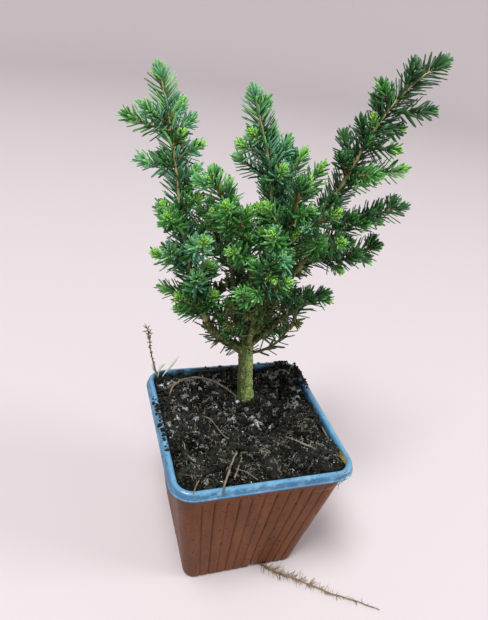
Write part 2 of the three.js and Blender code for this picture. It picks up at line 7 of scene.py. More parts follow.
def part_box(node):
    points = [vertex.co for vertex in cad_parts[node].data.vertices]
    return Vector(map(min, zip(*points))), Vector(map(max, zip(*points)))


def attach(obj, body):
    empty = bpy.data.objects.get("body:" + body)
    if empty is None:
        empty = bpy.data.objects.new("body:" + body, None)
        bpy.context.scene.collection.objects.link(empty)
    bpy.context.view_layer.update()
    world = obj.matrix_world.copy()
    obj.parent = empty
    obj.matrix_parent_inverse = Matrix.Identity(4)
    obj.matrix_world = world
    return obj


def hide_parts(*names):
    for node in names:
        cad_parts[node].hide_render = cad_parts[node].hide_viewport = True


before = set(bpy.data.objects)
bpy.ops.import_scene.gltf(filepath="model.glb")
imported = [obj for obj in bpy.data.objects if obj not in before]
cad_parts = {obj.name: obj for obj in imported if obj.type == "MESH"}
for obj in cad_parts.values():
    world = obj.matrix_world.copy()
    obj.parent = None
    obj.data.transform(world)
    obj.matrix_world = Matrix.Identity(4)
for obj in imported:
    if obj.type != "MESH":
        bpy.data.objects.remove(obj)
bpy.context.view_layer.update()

# The pot's wall: a thin tapered square tub, formed from one sheet of plastic that is
# brick red outside and dark blue inside. Narrow pleats stiffen each side, and the floor
# has drain holes. Lengths are in millimetres here, and meshes are scaled to metres.
mm = 0.001
wall_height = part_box("pot_wall")[1].z / mm
wall_half_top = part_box("pot_wall")[1].x / mm
wall_half_base = 30.5
wall_corner = 8.0
wall_thickness = 1.1
floor_thickness = 1.5
pleats_a_side = 11
pleat_pitch = 6.2
pleat_depth = 0.6
pleat_width = 0.42
plain_band = 7.0
drain_hole_radius = 2.0
drain_hole_inset = 17.0
drain_hole_sides = 20
drain_slot = (7.0, 9.0, 6.0)
cutter_foot = -4.0
cutter_top = 4.0
edge_radius = 1.3
underside_lift = 0.4
side_rows = 46
lining_rows = 12
warp_depth = 0.28


def tone(red, green, blue):
    """A colour read as 0 to 255 on a screen, as Blender's linear colour."""
    shares = [value / 255 for value in (red, green, blue)]
    linear = [s / 12.92 if s <= 0.04045 else ((s + 0.055) / 1.055) ** 2.4 for s in shares]
    return (*linear, 1.0)


def made_mesh(name, points, quads=(), triangles=(), smooth=True):
    """A mesh from arrays: points in millimetres, and faces of four and of three corners."""
    mesh = bpy.data.meshes.new(name)
    mesh.vertices.add(len(points))
    mesh.vertices.foreach_set("co", (np.asarray(points) * mm).astype(np.float32).ravel())
    groups = [np.asarray(group, dtype=np.int32) for group in (quads, triangles) if len(group)]
    corners = np.concatenate([group.ravel() for group in groups])
    sizes = np.concatenate([np.full(len(group), group.shape[1]) for group in groups])
    starts = np.concatenate([[0], np.cumsum(sizes)[:-1]]).astype(np.int32)
    mesh.loops.add(len(corners))
    mesh.loops.foreach_set("vertex_index", corners)
    mesh.polygons.add(len(sizes))
    mesh.polygons.foreach_set("loop_start", starts)
    mesh.update(calc_edges=True)
    if smooth:
        mesh.shade_smooth()
    return mesh


def add_piece(name, mesh, materials, replaced=()):
    """Hangs a mesh in the scene as one piece of the plant or its pot."""
    piece = bpy.data.objects.new(name, mesh)
    bpy.context.scene.collection.objects.link(piece)
    for material in materials:
        mesh.materials.append(material)
    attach(piece, "root")
    if replaced:
        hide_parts(*replaced)
    return piece


def ring_quads(columns, rows):
    """The faces between rows of points that each run once round."""
    row, column = np.meshgrid(np.arange(rows - 1), np.arange(columns), indexing="ij")
    following = (column + 1) % columns
    low = row * columns
    high = low + columns
    return np.stack([low + column, low + following, high + following, high + column], -1).reshape(-1, 4)


def closing_fan(ring, centre, outward_last):
    """Triangles that close a ring of points over a point at its middle."""
    following = np.roll(ring, -1)
    pair = (ring, following) if outward_last else (following, ring)
    return np.stack([*pair, np.full(len(ring), centre)], -1)


def closed_stack(rings, columns, low_middle, high_middle):
    """Rows of points that each run once round, closed over a point at both ends, with their faces."""
    last = len(rings)
    ring = np.arange(columns)
    fans = [closing_fan(ring, last, False), closing_fan(ring + last - columns, last + 1, True)]
    points = np.concatenate([rings, [low_middle, high_middle]])
    return points, ring_quads(columns, last // columns), np.concatenate(fans)


class Bundle:
    """Many small closed shapes, gathered to be joined in one mesh."""

    def __init__(self):
        self.points = []
        self.quads = []
        self.triangles = []
        self.count = 0

    def add(self, points, quads=None, triangles=None):
        if quads is not None and len(quads):
            self.quads.append(np.asarray(quads) + self.count)
        if triangles is not None and len(triangles):
            self.triangles.append(np.asarray(triangles) + self.count)
        self.points.append(points)
        self.count += len(points)

    def mesh(self, name):
        quads = np.concatenate(self.quads) if self.quads else ()
        triangles = np.concatenate(self.triangles) if self.triangles else ()
        return made_mesh(name, np.concatenate(self.points), quads, triangles)


def smooth_noise(points, size, seed):
    """Smooth noise between -1 and 1 whose lumps are about that size."""
    cells = np.asarray(points, dtype=float) / size
    whole = np.floor(cells).astype(np.int64)
    part = cells - whole
    part = part * part * (3 - 2 * part)
    total = np.zeros(len(cells))
    for corner in range(8):
        step = np.array([corner & 1, corner >> 1 & 1, corner >> 2 & 1])
        weight = np.prod(np.where(step, part, 1 - part), axis=1)
        spot = whole + step
        mixed = spot[:, 0] * 73856093 ^ spot[:, 1] * 19349663 ^ spot[:, 2] * 83492791
        mixed = (mixed ^ seed * 40503) * 1274126177
        mixed = (mixed ^ (mixed >> 15)) & 0xFFFF
        total += weight * (mixed / 32767.5 - 1)
    return total


def eased(share):
    """A value that eases from 0 to 1 as share goes from 0 to 1."""
    share = np.clip(share, 0, 1)
    return share * share * (3 - 2 * share)


def wire(tree, *pairs):
    """Links an output of a node tree with an input, pair by pair."""
    for output, entry in pairs:
        tree.links.new(output, entry)


def effect(name, inputs, output):
    """A new shader node group with its sockets: floats or vectors in, and one value out."""
    group = bpy.data.node_groups.new(name, "ShaderNodeTree")
    for socket, value in inputs.items():
        kind = "NodeSocketFloat" if isinstance(value, (int, float)) else "NodeSocketVector"
        made = group.interface.new_socket(socket, in_out="INPUT", socket_type=kind)
        made.default_value = value
    group.interface.new_socket(output, in_out="OUTPUT", socket_type="NodeSocketFloat")
    start = group.nodes.new("NodeGroupInput")
    end = group.nodes.new("NodeGroupOutput")
    return group, start, end


def stretched_place(group, start):
    """The object's own coordinates, multiplied by the group's Stretch."""
    place = group.nodes.new("ShaderNodeTexCoord")
    stretch = group.nodes.new("ShaderNodeVectorMath")
    stretch.operation = "MULTIPLY"
    wire(
        group,
        (place.outputs["Object"], stretch.inputs[0]),
        (start.outputs["Stretch"], stretch.inputs[1]),
    )
    return stretch.outputs[0]


def mottle_effect():
    """Soft cloudy patches: where they lie is 1, and elsewhere 0."""
    inputs = {"Scale": 100.0, "Low": 0.4, "High": 0.6, "Stretch": (1.0, 1.0, 1.0)}
    group, start, end = effect("mottle", inputs, "Mask")
    noise = group.nodes.new("ShaderNodeTexNoise")
    noise.inputs["Detail"].default_value = 5
    noise.inputs["Roughness"].default_value = 0.6
    spread = group.nodes.new("ShaderNodeMapRange")
    wire(
        group,
        (stretched_place(group, start), noise.inputs["Vector"]),
        (start.outputs["Scale"], noise.inputs["Scale"]),
        (noise.outputs["Fac"], spread.inputs["Value"]),
        (start.outputs["Low"], spread.inputs["From Min"]),
        (start.outputs["High"], spread.inputs["From Max"]),
        (spread.outputs["Result"], end.inputs["Mask"]),
    )
    return group


def specks_effect():
    """Scattered specks with ragged edges. Size is the share of each cell that a speck fills."""
    inputs = {"Scale": 500.0, "Size": 0.2, "Patchiness": 0.5, "Stretch": (1.0, 1.0, 1.0)}
    group, start, end = effect("specks", inputs, "Mask")
    place = stretched_place(group, start)
    cells = group.nodes.new("ShaderNodeTexVoronoi")
    clouds = group.nodes.new("ShaderNodeTexNoise")
    clouds.inputs["Scale"].default_value = 60
    clouds.inputs["Detail"].default_value = 4
    where = group.nodes.new("ShaderNodeMapRange")
    where.inputs["From Min"].default_value = 0.35
    where.inputs["From Max"].default_value = 0.75
    reach = group.nodes.new("ShaderNodeMath")
    reach.operation = "MULTIPLY_ADD"
    reach.inputs[2].default_value = 0.3
    limit = group.nodes.new("ShaderNodeMath")
    limit.operation = "MULTIPLY"
    inside = group.nodes.new("ShaderNodeMath")
    inside.operation = "LESS_THAN"
    wire(
        group,
        (place, cells.inputs["Vector"]),
        (place, clouds.inputs["Vector"]),
        (start.outputs["Scale"], cells.inputs["Scale"]),
        (clouds.outputs["Fac"], where.inputs["Value"]),
        (where.outputs["Result"], reach.inputs[0]),
        (start.outputs["Patchiness"], reach.inputs[1]),
        (reach.outputs[0], limit.inputs[0]),
        (start.outputs["Size"], limit.inputs[1]),
        (cells.outputs["Distance"], inside.inputs[0]),
        (limit.outputs[0], inside.inputs[1]),
        (inside.outputs[0], end.inputs["Mask"]),
    )
    return group


mottle = mottle_effect()
specks = specks_effect()


def place_effect(material, group, **settings):
    """One of the shared effects in a material, with that material's own values."""
    node = material.node_tree.nodes.new("ShaderNodeGroup")
    node.node_tree = group
    for socket, value in settings.items():
        node.inputs[socket].default_value = value
    return node.outputs[0]


def mixed_colour(material, mask, below, above):
    """One colour where the mask is 0 and another where it is 1. Either may be another mix."""
    mix = material.node_tree.nodes.new("ShaderNodeMix")
    mix.data_type = "RGBA"
    material.node_tree.links.new(mask, mix.inputs["Factor"])
    for socket, colour in ((mix.inputs["A"], below), (mix.inputs["B"], above)):
        if isinstance(colour, tuple):
            socket.default_value = colour
        else:
            material.node_tree.links.new(colour, socket)
    return mix.outputs["Result"]


def coloured(material, shader, base):
    """The material, with its colour led to its shader."""
    material.node_tree.links.new(base, shader.inputs["Base Color"])
    return material


def new_material(name, roughness, specular):
    """A plain material with its shader's own values set, and the shader."""
    material = bpy.data.materials.new(name)
    material.use_nodes = True
    shader = material.node_tree.nodes["Principled BSDF"]
    shader.inputs["Roughness"].default_value = roughness
    shader.inputs["Specular IOR Level"].default_value = specular
    return material, shader


def varied_roughness(material, shader, mask, low, high):
    """Roughness that goes from low to high with a mask."""
    spread = material.node_tree.nodes.new("ShaderNodeMapRange")
    spread.inputs["To Min"].default_value = low
    spread.inputs["To Max"].default_value = high
    material.node_tree.links.new(mask, spread.inputs["Value"])
    material.node_tree.links.new(spread.outputs["Result"], shader.inputs["Roughness"])


def add_bump(material, shader, height, distance, strength=1.0):
    """Fine relief on a surface from a height between 0 and 1, distance metres deep."""
    bump = material.node_tree.nodes.new("ShaderNodeBump")
    bump.inputs["Distance"].default_value = distance
    bump.inputs["Strength"].default_value = strength
    material.node_tree.links.new(height, bump.inputs["Height"])
    material.node_tree.links.new(bump.outputs["Normal"], shader.inputs["Normal"])


def brick_plastic():
    """The wall's outside: brick red, cloudy, sun-bleached in streaks, splashed with peat."""
    material, shader = new_material("brick_plastic", 0.5, 0.14)
    clouds = place_effect(material, mottle, Scale=38.0, Low=0.38, High=0.66)
    streaks = place_effect(material, mottle, Scale=120.0, Low=0.45, High=0.75, Stretch=(1.0, 1.0, 0.12))
    splashes = place_effect(material, specks, Scale=520.0, Size=0.22, Patchiness=1.3)
    flattened = (1.0, 1.0, 0.5)
    smudges = place_effect(material, specks, Scale=330.0, Size=0.15, Patchiness=1.7, Stretch=flattened)
    dust = place_effect(material, mottle, Scale=420.0, Low=0.6, High=0.74, Stretch=(1.0, 1.0, 0.6))
    base = mixed_colour(material, clouds, tone(104, 55, 19), tone(88, 48, 18))
    base = mixed_colour(material, streaks, base, tone(118, 66, 26))
    base = mixed_colour(material, dust, base, tone(84, 46, 26))
    base = mixed_colour(material, splashes, base, tone(58, 34, 16))
    base = mixed_colour(material, smudges, base, tone(52, 30, 14))
    coloured(material, shader, base)
    varied_roughness(material, shader, dust, 0.42, 0.75)
    add_bump(material, shader, clouds, 0.0002, 0.5)
    return material


def blue_lining():
    """The wall's inside: the sheet's blue face, dull with dried peat, and darker than on the rim as painted
    shade inside the tub.
    """
    material, shader = new_material("blue_lining", 0.55, 0.4)
    dark_patches = place_effect(material, mottle, Scale=170.0, Low=0.36, High=0.6)
    # The blue is darker than the rim's as painted shade; the dark grey patches are dried peat.
    base = mixed_colour(material, dark_patches, tone(44, 62, 82), tone(30, 30, 30))
    return coloured(material, shader, base)


def wall_outline():
    """The outline at the wall's top: places, outward directions, and how deep each pleat is cut."""
    straight = wall_half_top - wall_corner
    near_pleat = np.array([-1.1, -0.7, -0.45, -0.25, -0.1, 0, 0.1, 0.25, 0.45, 0.7, 1.1])
    along = []
    cut = []
    for k in range(pleats_a_side):
        middle = (k - (pleats_a_side - 1) / 2) * pleat_pitch
        depth = pleat_depth * (1 + 0.25 * math.sin(2.4 * k))
        along.extend(middle + near_pleat)
        cut.extend(depth * np.exp(-((near_pleat / pleat_width) ** 2)))
        if k < pleats_a_side - 1:
            between = middle + pleat_pitch * np.array([0.32, 0.5, 0.68])
            along.extend(between)
            cut.extend([0, 0, 0])
    side = np.stack([np.full(len(along), wall_half_top), np.array(along)], -1)
    side_outward = np.tile([1.0, 0.0], (len(along), 1))
    turns = np.linspace(0, math.pi / 2, 15)
    corner_outward = np.stack([np.cos(turns), np.sin(turns)], -1)
    corner = straight + corner_outward * wall_corner
    quarter = np.concatenate([side, corner])
    quarter_outward = np.concatenate([side_outward, corner_outward])
    cut = np.concatenate([cut, np.zeros(len(turns))])
    places = []
    outward = []
    for k in range(4):
        turn = np.array([[0, -1], [1, 0]])
        turn = np.linalg.matrix_power(turn, k)
        places.append(quarter @ turn.T)
        outward.append(quarter_outward @ turn.T)
    return np.concatenate(places), np.concatenate(outward), np.tile(cut, 4)


def wall_mesh():
    """The whole tub as one closed surface: underside, outside, top edge, inside and floor."""
    places, outward, cut = wall_outline()
    rows = []

    def add_row(z, inset, pleated, share=1.0):
        scale = np.interp(z, [0, wall_height], [wall_half_base, wall_half_top]) / wall_half_top
        row = (places - outward * (cut[:, None] * pleated + inset / scale)) * scale * share
        rows.append(np.column_stack([row, np.full(len(row), z)]))

    for share in (0.02, 0.25, 0.5, 0.75, 0.9):
        add_row(underside_lift, edge_radius, 0.4, share)
    add_row(0.0, 2 * edge_radius, 0.8)
    add_row(0.0, edge_radius, 1.0)
    for angle in np.radians([30, 60]):
        add_row(edge_radius * (1 - math.cos(angle)), edge_radius * (1 - math.sin(angle)), 1.0)
    for z in np.linspace(edge_radius, wall_height - 0.4, side_rows):
        fade = eased((wall_height - plain_band + 3 - z) / 6)
        add_row(z, 0.0, fade)
    outer_rows = len(rows)
    add_row(wall_height, 0.3, 0.0)
    add_row(wall_height, wall_thickness, 0.0)
    for z in np.linspace(wall_height - 1, floor_thickness + 2, lining_rows):
        add_row(z, wall_thickness, 0.0)
    add_row(floor_thickness, wall_thickness + 2, 0.0)
    for share in (0.6, 0.02):
        add_row(floor_thickness, wall_thickness + 2, 0.0, share)
    points = np.concatenate(rows)
    columns = len(places)
    warp = smooth_noise(points, 19, 3) + 0.5 * smooth_noise(points, 8, 5)
    middle = eased(points[:, 2] / 12) * eased((wall_height - points[:, 2]) / 14)
    bearing = points[:, :2] / np.maximum(np.linalg.norm(points[:, :2], axis=1), 1)[:, None]
    points[:, :2] += bearing * (warp_depth * warp * middle)[:, None]
    middles = [0, 0, underside_lift], [0, 0, floor_thickness]
    mesh = made_mesh("pot_wall", *closed_stack(points, columns, *middles))
    # Faces above the outer rows show the sheet's blue side, but the fan under the floor doesn't.
    lining = np.zeros(len(mesh.polygons), dtype=np.int32)
    lining[outer_rows * columns:] = 1
    lining[-2 * columns:-columns] = 0
    mesh.polygons.foreach_set("material_index", lining)
    return mesh


def cutter_mesh():
    """Everything that is punched out of the floor: four round holes and four slots."""
    angles = np.arange(drain_hole_sides) * 2 * math.pi / drain_hole_sides
    hole = drain_hole_inset + drain_hole_radius * np.stack([np.cos(angles), np.sin(angles)], -1)
    depth, width, height = drain_slot
    slot = np.array([[-depth, -width], [depth, -width], [depth, width], [-depth, width]]) / 2
    slot = (slot + [wall_half_base, width]) @ np.array([[0, -1], [1, 0]])
    cutters = Bundle()
    for k in range(4):
        turn = math.pi / 2 * k
        spin = np.array([[math.cos(turn), -math.sin(turn)], [math.sin(turn), math.cos(turn)]])
        for outline, top in ((hole, cutter_top), (slot, height / 2)):
            turned = outline @ spin.T
            rings = [np.column_stack([turned, np.full(len(turned), z)]) for z in (cutter_foot, top)]
            ends = [[*turned.mean(0), z] for z in (cutter_foot, top)]
            cutters.add(*closed_stack(np.concatenate(rings), len(turned), *ends))
    return cutters.mesh("drain_cutter")


def punched(mesh, cutter):
    """A copy of a mesh with everything inside the cutter taken away."""
    whole = bpy.data.objects.new("whole", mesh)
    tool = bpy.data.objects.new("tool", cutter)
    for made in (whole, tool):
        bpy.context.scene.collection.objects.link(made)
    cut = whole.modifiers.new("punch", "BOOLEAN")
    cut.operation = "DIFFERENCE"
    cut.solver = "EXACT"
    cut.object = tool
    bpy.context.view_layer.update()
    seen = whole.evaluated_get(bpy.context.evaluated_depsgraph_get())
    result = bpy.data.meshes.new_from_object(seen)
    for made in (whole, tool):
        bpy.data.objects.remove(made)
    return result


whole_tub = wall_mesh()
whole_tub.materials.append(brick_plastic())
whole_tub.materials.append(blue_lining())
add_piece("pot_tub", punched(whole_tub, cutter_mesh()), [], ["pot_wall"])

# The rolled rim: the blue face of the sheet, turned over into a round bead with a thin
# flat lip round its lower edge. It is the glossiest part of the pot, scuffed, and painted
# paler on its upward faces as a painted highlight along its crest.
rim_half_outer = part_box("pot_rim")[1].x / mm
rim_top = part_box("pot_rim")[1].z / mm
rim_corner = 11.0
lip_height = 0.75
lip_reach = 0.65
bead_height = 1.9
rim_columns = 320


def square_reach(angle, half_width, corner_radius):
    """How far the outline of a rounded square lies from the axis, toward an angle."""
    across = np.abs(np.cos(angle))
    along = np.abs(np.sin(angle))
    centre = half_width - corner_radius
    flat = half_width / np.maximum(across, along)
    to_corner = centre * (across + along)
    spare = np.maximum(to_corner ** 2 - 2 * centre ** 2 + corner_radius ** 2, 0)
    rounded = to_corner + np.sqrt(spare)
    return np.where(np.minimum(across, along) * flat <= centre, flat, rounded)


def crowded_angles(count):
    """Angles round a square, closer together toward its corners."""
    even = np.arange(count) * 2 * math.pi / count
    return even + 0.17 * np.sin(4 * even)


def level_ring(angles, reach, z):
    """A ring of points at one height, each so far from the axis."""
    return np.column_stack([np.cos(angles) * reach, np.sin(angles) * reach, np.full(len(angles), z)])


def rim_mesh():
    """The bead's section, carried round the rounded square."""
    outer = rim_half_outer - lip_reach
    inner = wall_half_top - wall_thickness
    bead = (outer - inner) / 2
    section = [
        (inner, wall_height), (inner + bead, wall_height), (rim_half_outer - 0.15, wall_height),
        (rim_half_outer, wall_height + 0.2), (rim_half_outer - 0.05, wall_height + lip_height - 0.15),
        (outer + 0.35, wall_height + lip_height), (outer + 0.02, wall_height + lip_height + 0.25),
    ]
    rise = rim_top - wall_height - bead_height
    for angle in np.linspace(0, math.pi, 17):
        across = inner + bead + bead * math.cos(angle)
        section.append((across, wall_height + rise + bead_height * math.sin(angle)))
    section.append((inner + 0.03, wall_height + 1.0))
    angles = crowded_angles(rim_columns)
    rows = []
    for half_width, z in section:
        reach = square_reach(angles, half_width, rim_corner - (rim_half_outer - half_width))
        rows.append(level_ring(angles, reach, z))
    rows.append(rows[0])
    points = np.concatenate(rows)
    sway = smooth_noise(points * [1, 1, 0.2], 21, 11) * 0.16 + smooth_noise(points, 5, 12) * 0.05
    settled = eased((points[:, 2] - wall_height) / 2)
    points[:, 2] -= np.abs(sway) * settled
    points[:, :2] *= (1 - np.abs(sway) * 0.004)[:, None]
    return made_mesh("pot_rim", points, ring_quads(len(angles), len(rows)))


def ramp_of(material, vector, axis, low, high):
    """A mask that goes from 0 to 1 as one part of a vector, X, Y or Z, goes from low to high."""
    parts = material.node_tree.nodes.new("ShaderNodeSeparateXYZ")
    spread = material.node_tree.nodes.new("ShaderNodeMapRange")
    spread.inputs["From Min"].default_value = low
    spread.inputs["From Max"].default_value = high
    material.node_tree.links.new(vector, parts.inputs[0])
    material.node_tree.links.new(parts.outputs[axis], spread.inputs["Value"])
    return spread.outputs["Result"]


def facing(material, axis, low, high):
    """A mask by where the surface faces."""
    surface = material.node_tree.nodes.new("ShaderNodeNewGeometry")
    return ramp_of(material, surface.outputs["Normal"], axis, low, high)


def lying_past(material, axis, low, high):
    """A mask by the place on the object, in metres."""
    place = material.node_tree.nodes.new("ShaderNodeTexCoord")
    return ramp_of(material, place.outputs["Object"], axis, low, high)


def rim_plastic():
    """Mid blue with a painted highlight along its crest, scuffed, soiled with peat, and darker in patches
    on its inner faces at the back.
    """
    material, shader = new_material("rim_plastic", 0.3, 0.5)
    scuffs = place_effect(material, mottle, Scale=260.0, Low=0.5, High=0.8, Stretch=(1.0, 1.0, 2.0))
    clouds = place_effect(material, mottle, Scale=60.0, Low=0.35, High=0.65)
    caught = place_effect(material, specks, Scale=640.0, Size=0.16, Patchiness=1.2)
    smears = place_effect(material, mottle, Scale=260.0, Low=0.6, High=0.74)
    base = mixed_colour(material, clouds, tone(50, 94, 130), tone(64, 112, 148))
    # Painted highlight: faces that look up, along the bead's crest, are painted paler.
    base = mixed_colour(material, facing(material, "Z", 0.55, 1.0), base, tone(96, 148, 180))
    base = mixed_colour(material, scuffs, base, tone(124, 170, 196))
    base = mixed_colour(material, smears, base, tone(66, 90, 106))
    base = mixed_colour(material, caught, base, tone(48, 50, 50))
    # Darker in patches on the back rim's faces that look toward -Y.
    back_patchiness = place_effect(material, mottle, Scale=160.0, Low=0.3, High=0.5)
    dark_patches = mixed_colour(material, back_patchiness, base, tone(36, 42, 48))
    dark_patches = mixed_colour(material, facing(material, "Y", 0.1, -0.5), base, dark_patches)
    at_back = lying_past(material, "Y", 0.03, 0.036)
    base = mixed_colour(material, at_back, base, dark_patches)
    coloured(material, shader, base)
    varied_roughness(material, shader, smears, 0.26, 0.6)
    add_bump(material, shader, scuffs, 0.0001, 0.4)
    return material


add_piece("rolled_rim", rim_mesh(), [rim_plastic()], ["pot_rim"])

# The peat: dark, moist and crumbly, filling the pot to a few millimetres under the rim.
# It rises toward the front right, is drawn up round the trunk, and is banked against the
# back and the sides.
soil_level = 77.7
soil_rise_front = 1.6
soil_rise_right = 0.9
soil_mound = 1.9
soil_mound_radius = 13.0
soil_clod = 0.9
soil_seam = 0.15
soil_columns = 400
soil_rows = 130
foot = np.array([5.5, 16.5, 78.0])


def wall_half_at(z):
    """Half of the tub's inner width at a height."""
    outer = np.interp(z, [0, wall_height], [wall_half_base, wall_half_top])
    return outer - wall_thickness


def soil_height(x, y):
    """The peat's surface: its even fall, the mound, broad clods and finer crumbs."""
    half = wall_half_at(wall_height)
    slope = (soil_rise_right * x - soil_rise_front * y) / half
    from_foot = np.hypot(x - foot[0], y - foot[1]) / soil_mound_radius
    broad = np.sin(x * 0.16 + 1.3) * np.cos(y * 0.19 - 0.4)
    fine = np.sin(x * 0.43 - y * 0.27) * np.cos(y * 0.37 + x * 0.11)
    clods = soil_clod * (0.7 * broad + 0.5 * fine)
    flat = np.column_stack([x, y, np.zeros(len(x))])
    crumbs = 1.15 * smooth_noise(flat, 4.3, 21) + 0.85 * smooth_noise(flat, 2.1, 22)
    crumbs += 0.35 * smooth_noise(flat, 0.9, 23)
    crumbs -= 2.4 * eased(1 - np.abs(smooth_noise(flat, 3.6, 24)) / 0.2)
    at_foot = np.exp(-((from_foot * soil_mound_radius / 7) ** 2))
    crumbs = crumbs * (1 - 0.7 * at_foot) + 1.5 * at_foot
    banked = 1.7 * eased((-x - 27) / 10) + 1.1 * eased((x - 30) / 9)
    banked += 1.4 * eased((x - 26) / 10) * eased((y - 20) / 12)
    banked += (2.4 + 1.2 * eased((-x - 5) / 14)) * eased((y - 27) / 10)
    return soil_level + slope + banked + soil_mound * np.exp(-from_foot ** 2) + clods + crumbs


def soil_mesh():
    """One closed fill: a floor, sides just inside the tub, and the crumbly top."""
    angles = crowded_angles(soil_columns)
    rows = []
    for z in (floor_thickness + soil_seam, 20.0, 40.0, 60.0, 72.0, 75.0):
        half = wall_half_at(z) - soil_seam
        reach = square_reach(angles, half, (wall_corner - wall_thickness) * half / wall_half_top)
        rows.append(level_ring(angles, reach, z))
    edge = rows[-1][:, :2]
    for share in np.linspace(1, 0.01, soil_rows):
        place = edge * share
        sunk = 0.4 * eased((share - 0.97) / 0.03)
        rows.append(np.column_stack([place, soil_height(place[:, 0], place[:, 1]) - sunk]))
    top = soil_height(np.zeros(1), np.zeros(1))[0]
    middles = [0, 0, floor_thickness + soil_seam], [0, 0, top]
    return made_mesh("peat", *closed_stack(np.concatenate(rows), len(angles), *middles))


def peat_material(name, dark, light):
    """Moist crumbly peat: dark, with lighter dry patches and fine fibre."""
    material, shader = new_material(name, 0.95, 0.08)
    clouds = place_effect(material, mottle, Scale=90.0, Low=0.4, High=0.7)
    dry = place_effect(material, mottle, Scale=700.0, Low=0.55, High=0.75)
    base = mixed_colour(material, clouds, dark, light)
    base = mixed_colour(material, dry, base, tone(84, 84, 77))
    coloured(material, shader, base)
    grain = place_effect(material, mottle, Scale=1600.0, Low=0.2, High=0.8)
    add_bump(material, shader, grain, 0.0004, 0.8)
    return material


peat_brown = peat_material("peat_brown", tone(10, 11, 9), tone(32, 33, 29))
add_piece("peat_fill", soil_mesh(), [peat_brown], ["soil"])

# Loose crumbs on the peat: lumps of peat, bits of bark and stone, and grey clumps and
# pale flecks of mould that grow in patches. Each is a small uneven solid of twenty faces.
lump_corners = np.array([
    [0, 0, 1],
    [0.89, 0, 0.45], [0.28, 0.85, 0.45], [-0.72, 0.53, 0.45], [-0.72, -0.53, 0.45],
    [0.28, -0.85, 0.45],
    [0.72, 0.53, -0.45], [-0.28, 0.85, -0.45], [-0.89, 0, -0.45], [-0.28, -0.85, -0.45],
    [0.72, -0.53, -0.45],
    [0, 0, -1],
])


def lump_faces():
    """The twenty faces of a lump: a cap, a belt and a cap of triangles."""
    faces = []
    for k in range(5):
        following = (k + 1) % 5
        upper, next_upper = 1 + k, 1 + following
        lower, next_lower = 6 + k, 6 + following
        faces.append([0, upper, next_upper])
        faces.append([upper, lower, next_upper])
        faces.append([next_upper, lower, next_lower])
        faces.append([11, next_lower, lower])
    return np.array(faces)


def on_peat(random, count, margin=1.0):
    """Places scattered over the peat, kept off the trunk's foot and in from the rim."""
    half = wall_half_at(76) - margin
    places = []
    while len(places) < count:
        x, y = random.uniform(-half, half, 2)
        in_corner = max(abs(x) - half + 7, 0) ** 2 + max(abs(y) - half + 7, 0) ** 2 > 49
        if in_corner or math.hypot(x - foot[0], y - foot[1]) < 4.4:
            continue
        places.append([x, y])
    places = np.array(places)
    return np.column_stack([places, soil_height(places[:, 0], places[:, 1])])


# Where mould grows: the place of each patch, and its spread.
mouldy = (
    (-14, 24, 5), (-5, 17, 3), (-2, 37, 3), (29, 30, 5), (36, 22, 3), (4, 6, 2.5), (6, -4, 2.5),
    (-37, 3, 3), (30, -27, 5), (-25, 14, 6), (-6, 3, 6), (30, 12, 4), (-27, 30, 3), (33, 27, 4),
    (26, 35, 3), (24, 22, 4), (-20, 35, 3), (-10, 33, 3), (-32, 34, 2.5),
)
clumps_a_patch = 5
clump_spread = 0.9


def in_patches(random, count):
    """Places on the peat where mould grows: in clumps, most of them near the middle of a patch."""
    patches = np.array(mouldy)
    offsets = np.random.default_rng(36).normal(0, 1, (len(patches), clumps_a_patch, 2))
    patch = random.integers(0, len(patches), count)
    clump = random.integers(0, clumps_a_patch, count)
    places = patches[patch, :2] + offsets[patch, clump] * patches[patch, 2:]
    places += random.normal(0, clump_spread, (count, 2))
    places = np.clip(places, -37.5, 37.5)
    places = places[np.hypot(places[:, 0] - foot[0], places[:, 1] - foot[1]) > 4.5]
    return np.column_stack([places, soil_height(places[:, 0], places[:, 1])])


def round_foot(random, count):
    """Places close round the trunk's foot, where crumbs have piled up against it."""
    turns = random.uniform(0, 2 * math.pi, count)
    reach = 4.5 + 3.2 * random.random(count) ** 1.6
    places = foot[:2] + np.column_stack([np.cos(turns), np.sin(turns)]) * reach[:, None]
    piled = 0.9 * eased((5.4 - reach) / 0.9) * random.random(count)
    return np.column_stack([places, soil_height(places[:, 0], places[:, 1]) + piled])


def scattered_lumps(random, places, size, flatness):
    """Many small uneven lumps of the given sizes, lying at the given places."""
    count = len(places)
    smallest, largest = size
    radius = smallest + (largest - smallest) * random.random(count) ** 3
    corners = lump_corners[None] * random.uniform(0.4, 1.45, (count, len(lump_corners), 1))
    corners = corners * [1, random.uniform(0.5, 1.0), flatness]
    turns = random.uniform(0, 2 * math.pi, (count, 2))
    corners = np.stack([
        corners[..., 0] * np.cos(turns[:, :1]) - corners[..., 1] * np.sin(turns[:, :1]),
        corners[..., 0] * np.sin(turns[:, :1]) + corners[..., 1] * np.cos(turns[:, :1]),
        corners[..., 2] + 0.35 * corners[..., 0] * np.sin(turns[:, 1:]),
    ], -1)
    places[:, 2] += 0.25 * radius
    points = (places[:, None] + corners * radius[:, None, None]).reshape(-1, 3)
    offsets = np.arange(count)[:, None, None] * len(lump_corners)
    return points, (lump_faces()[None] + offsets).reshape(-1, 3)


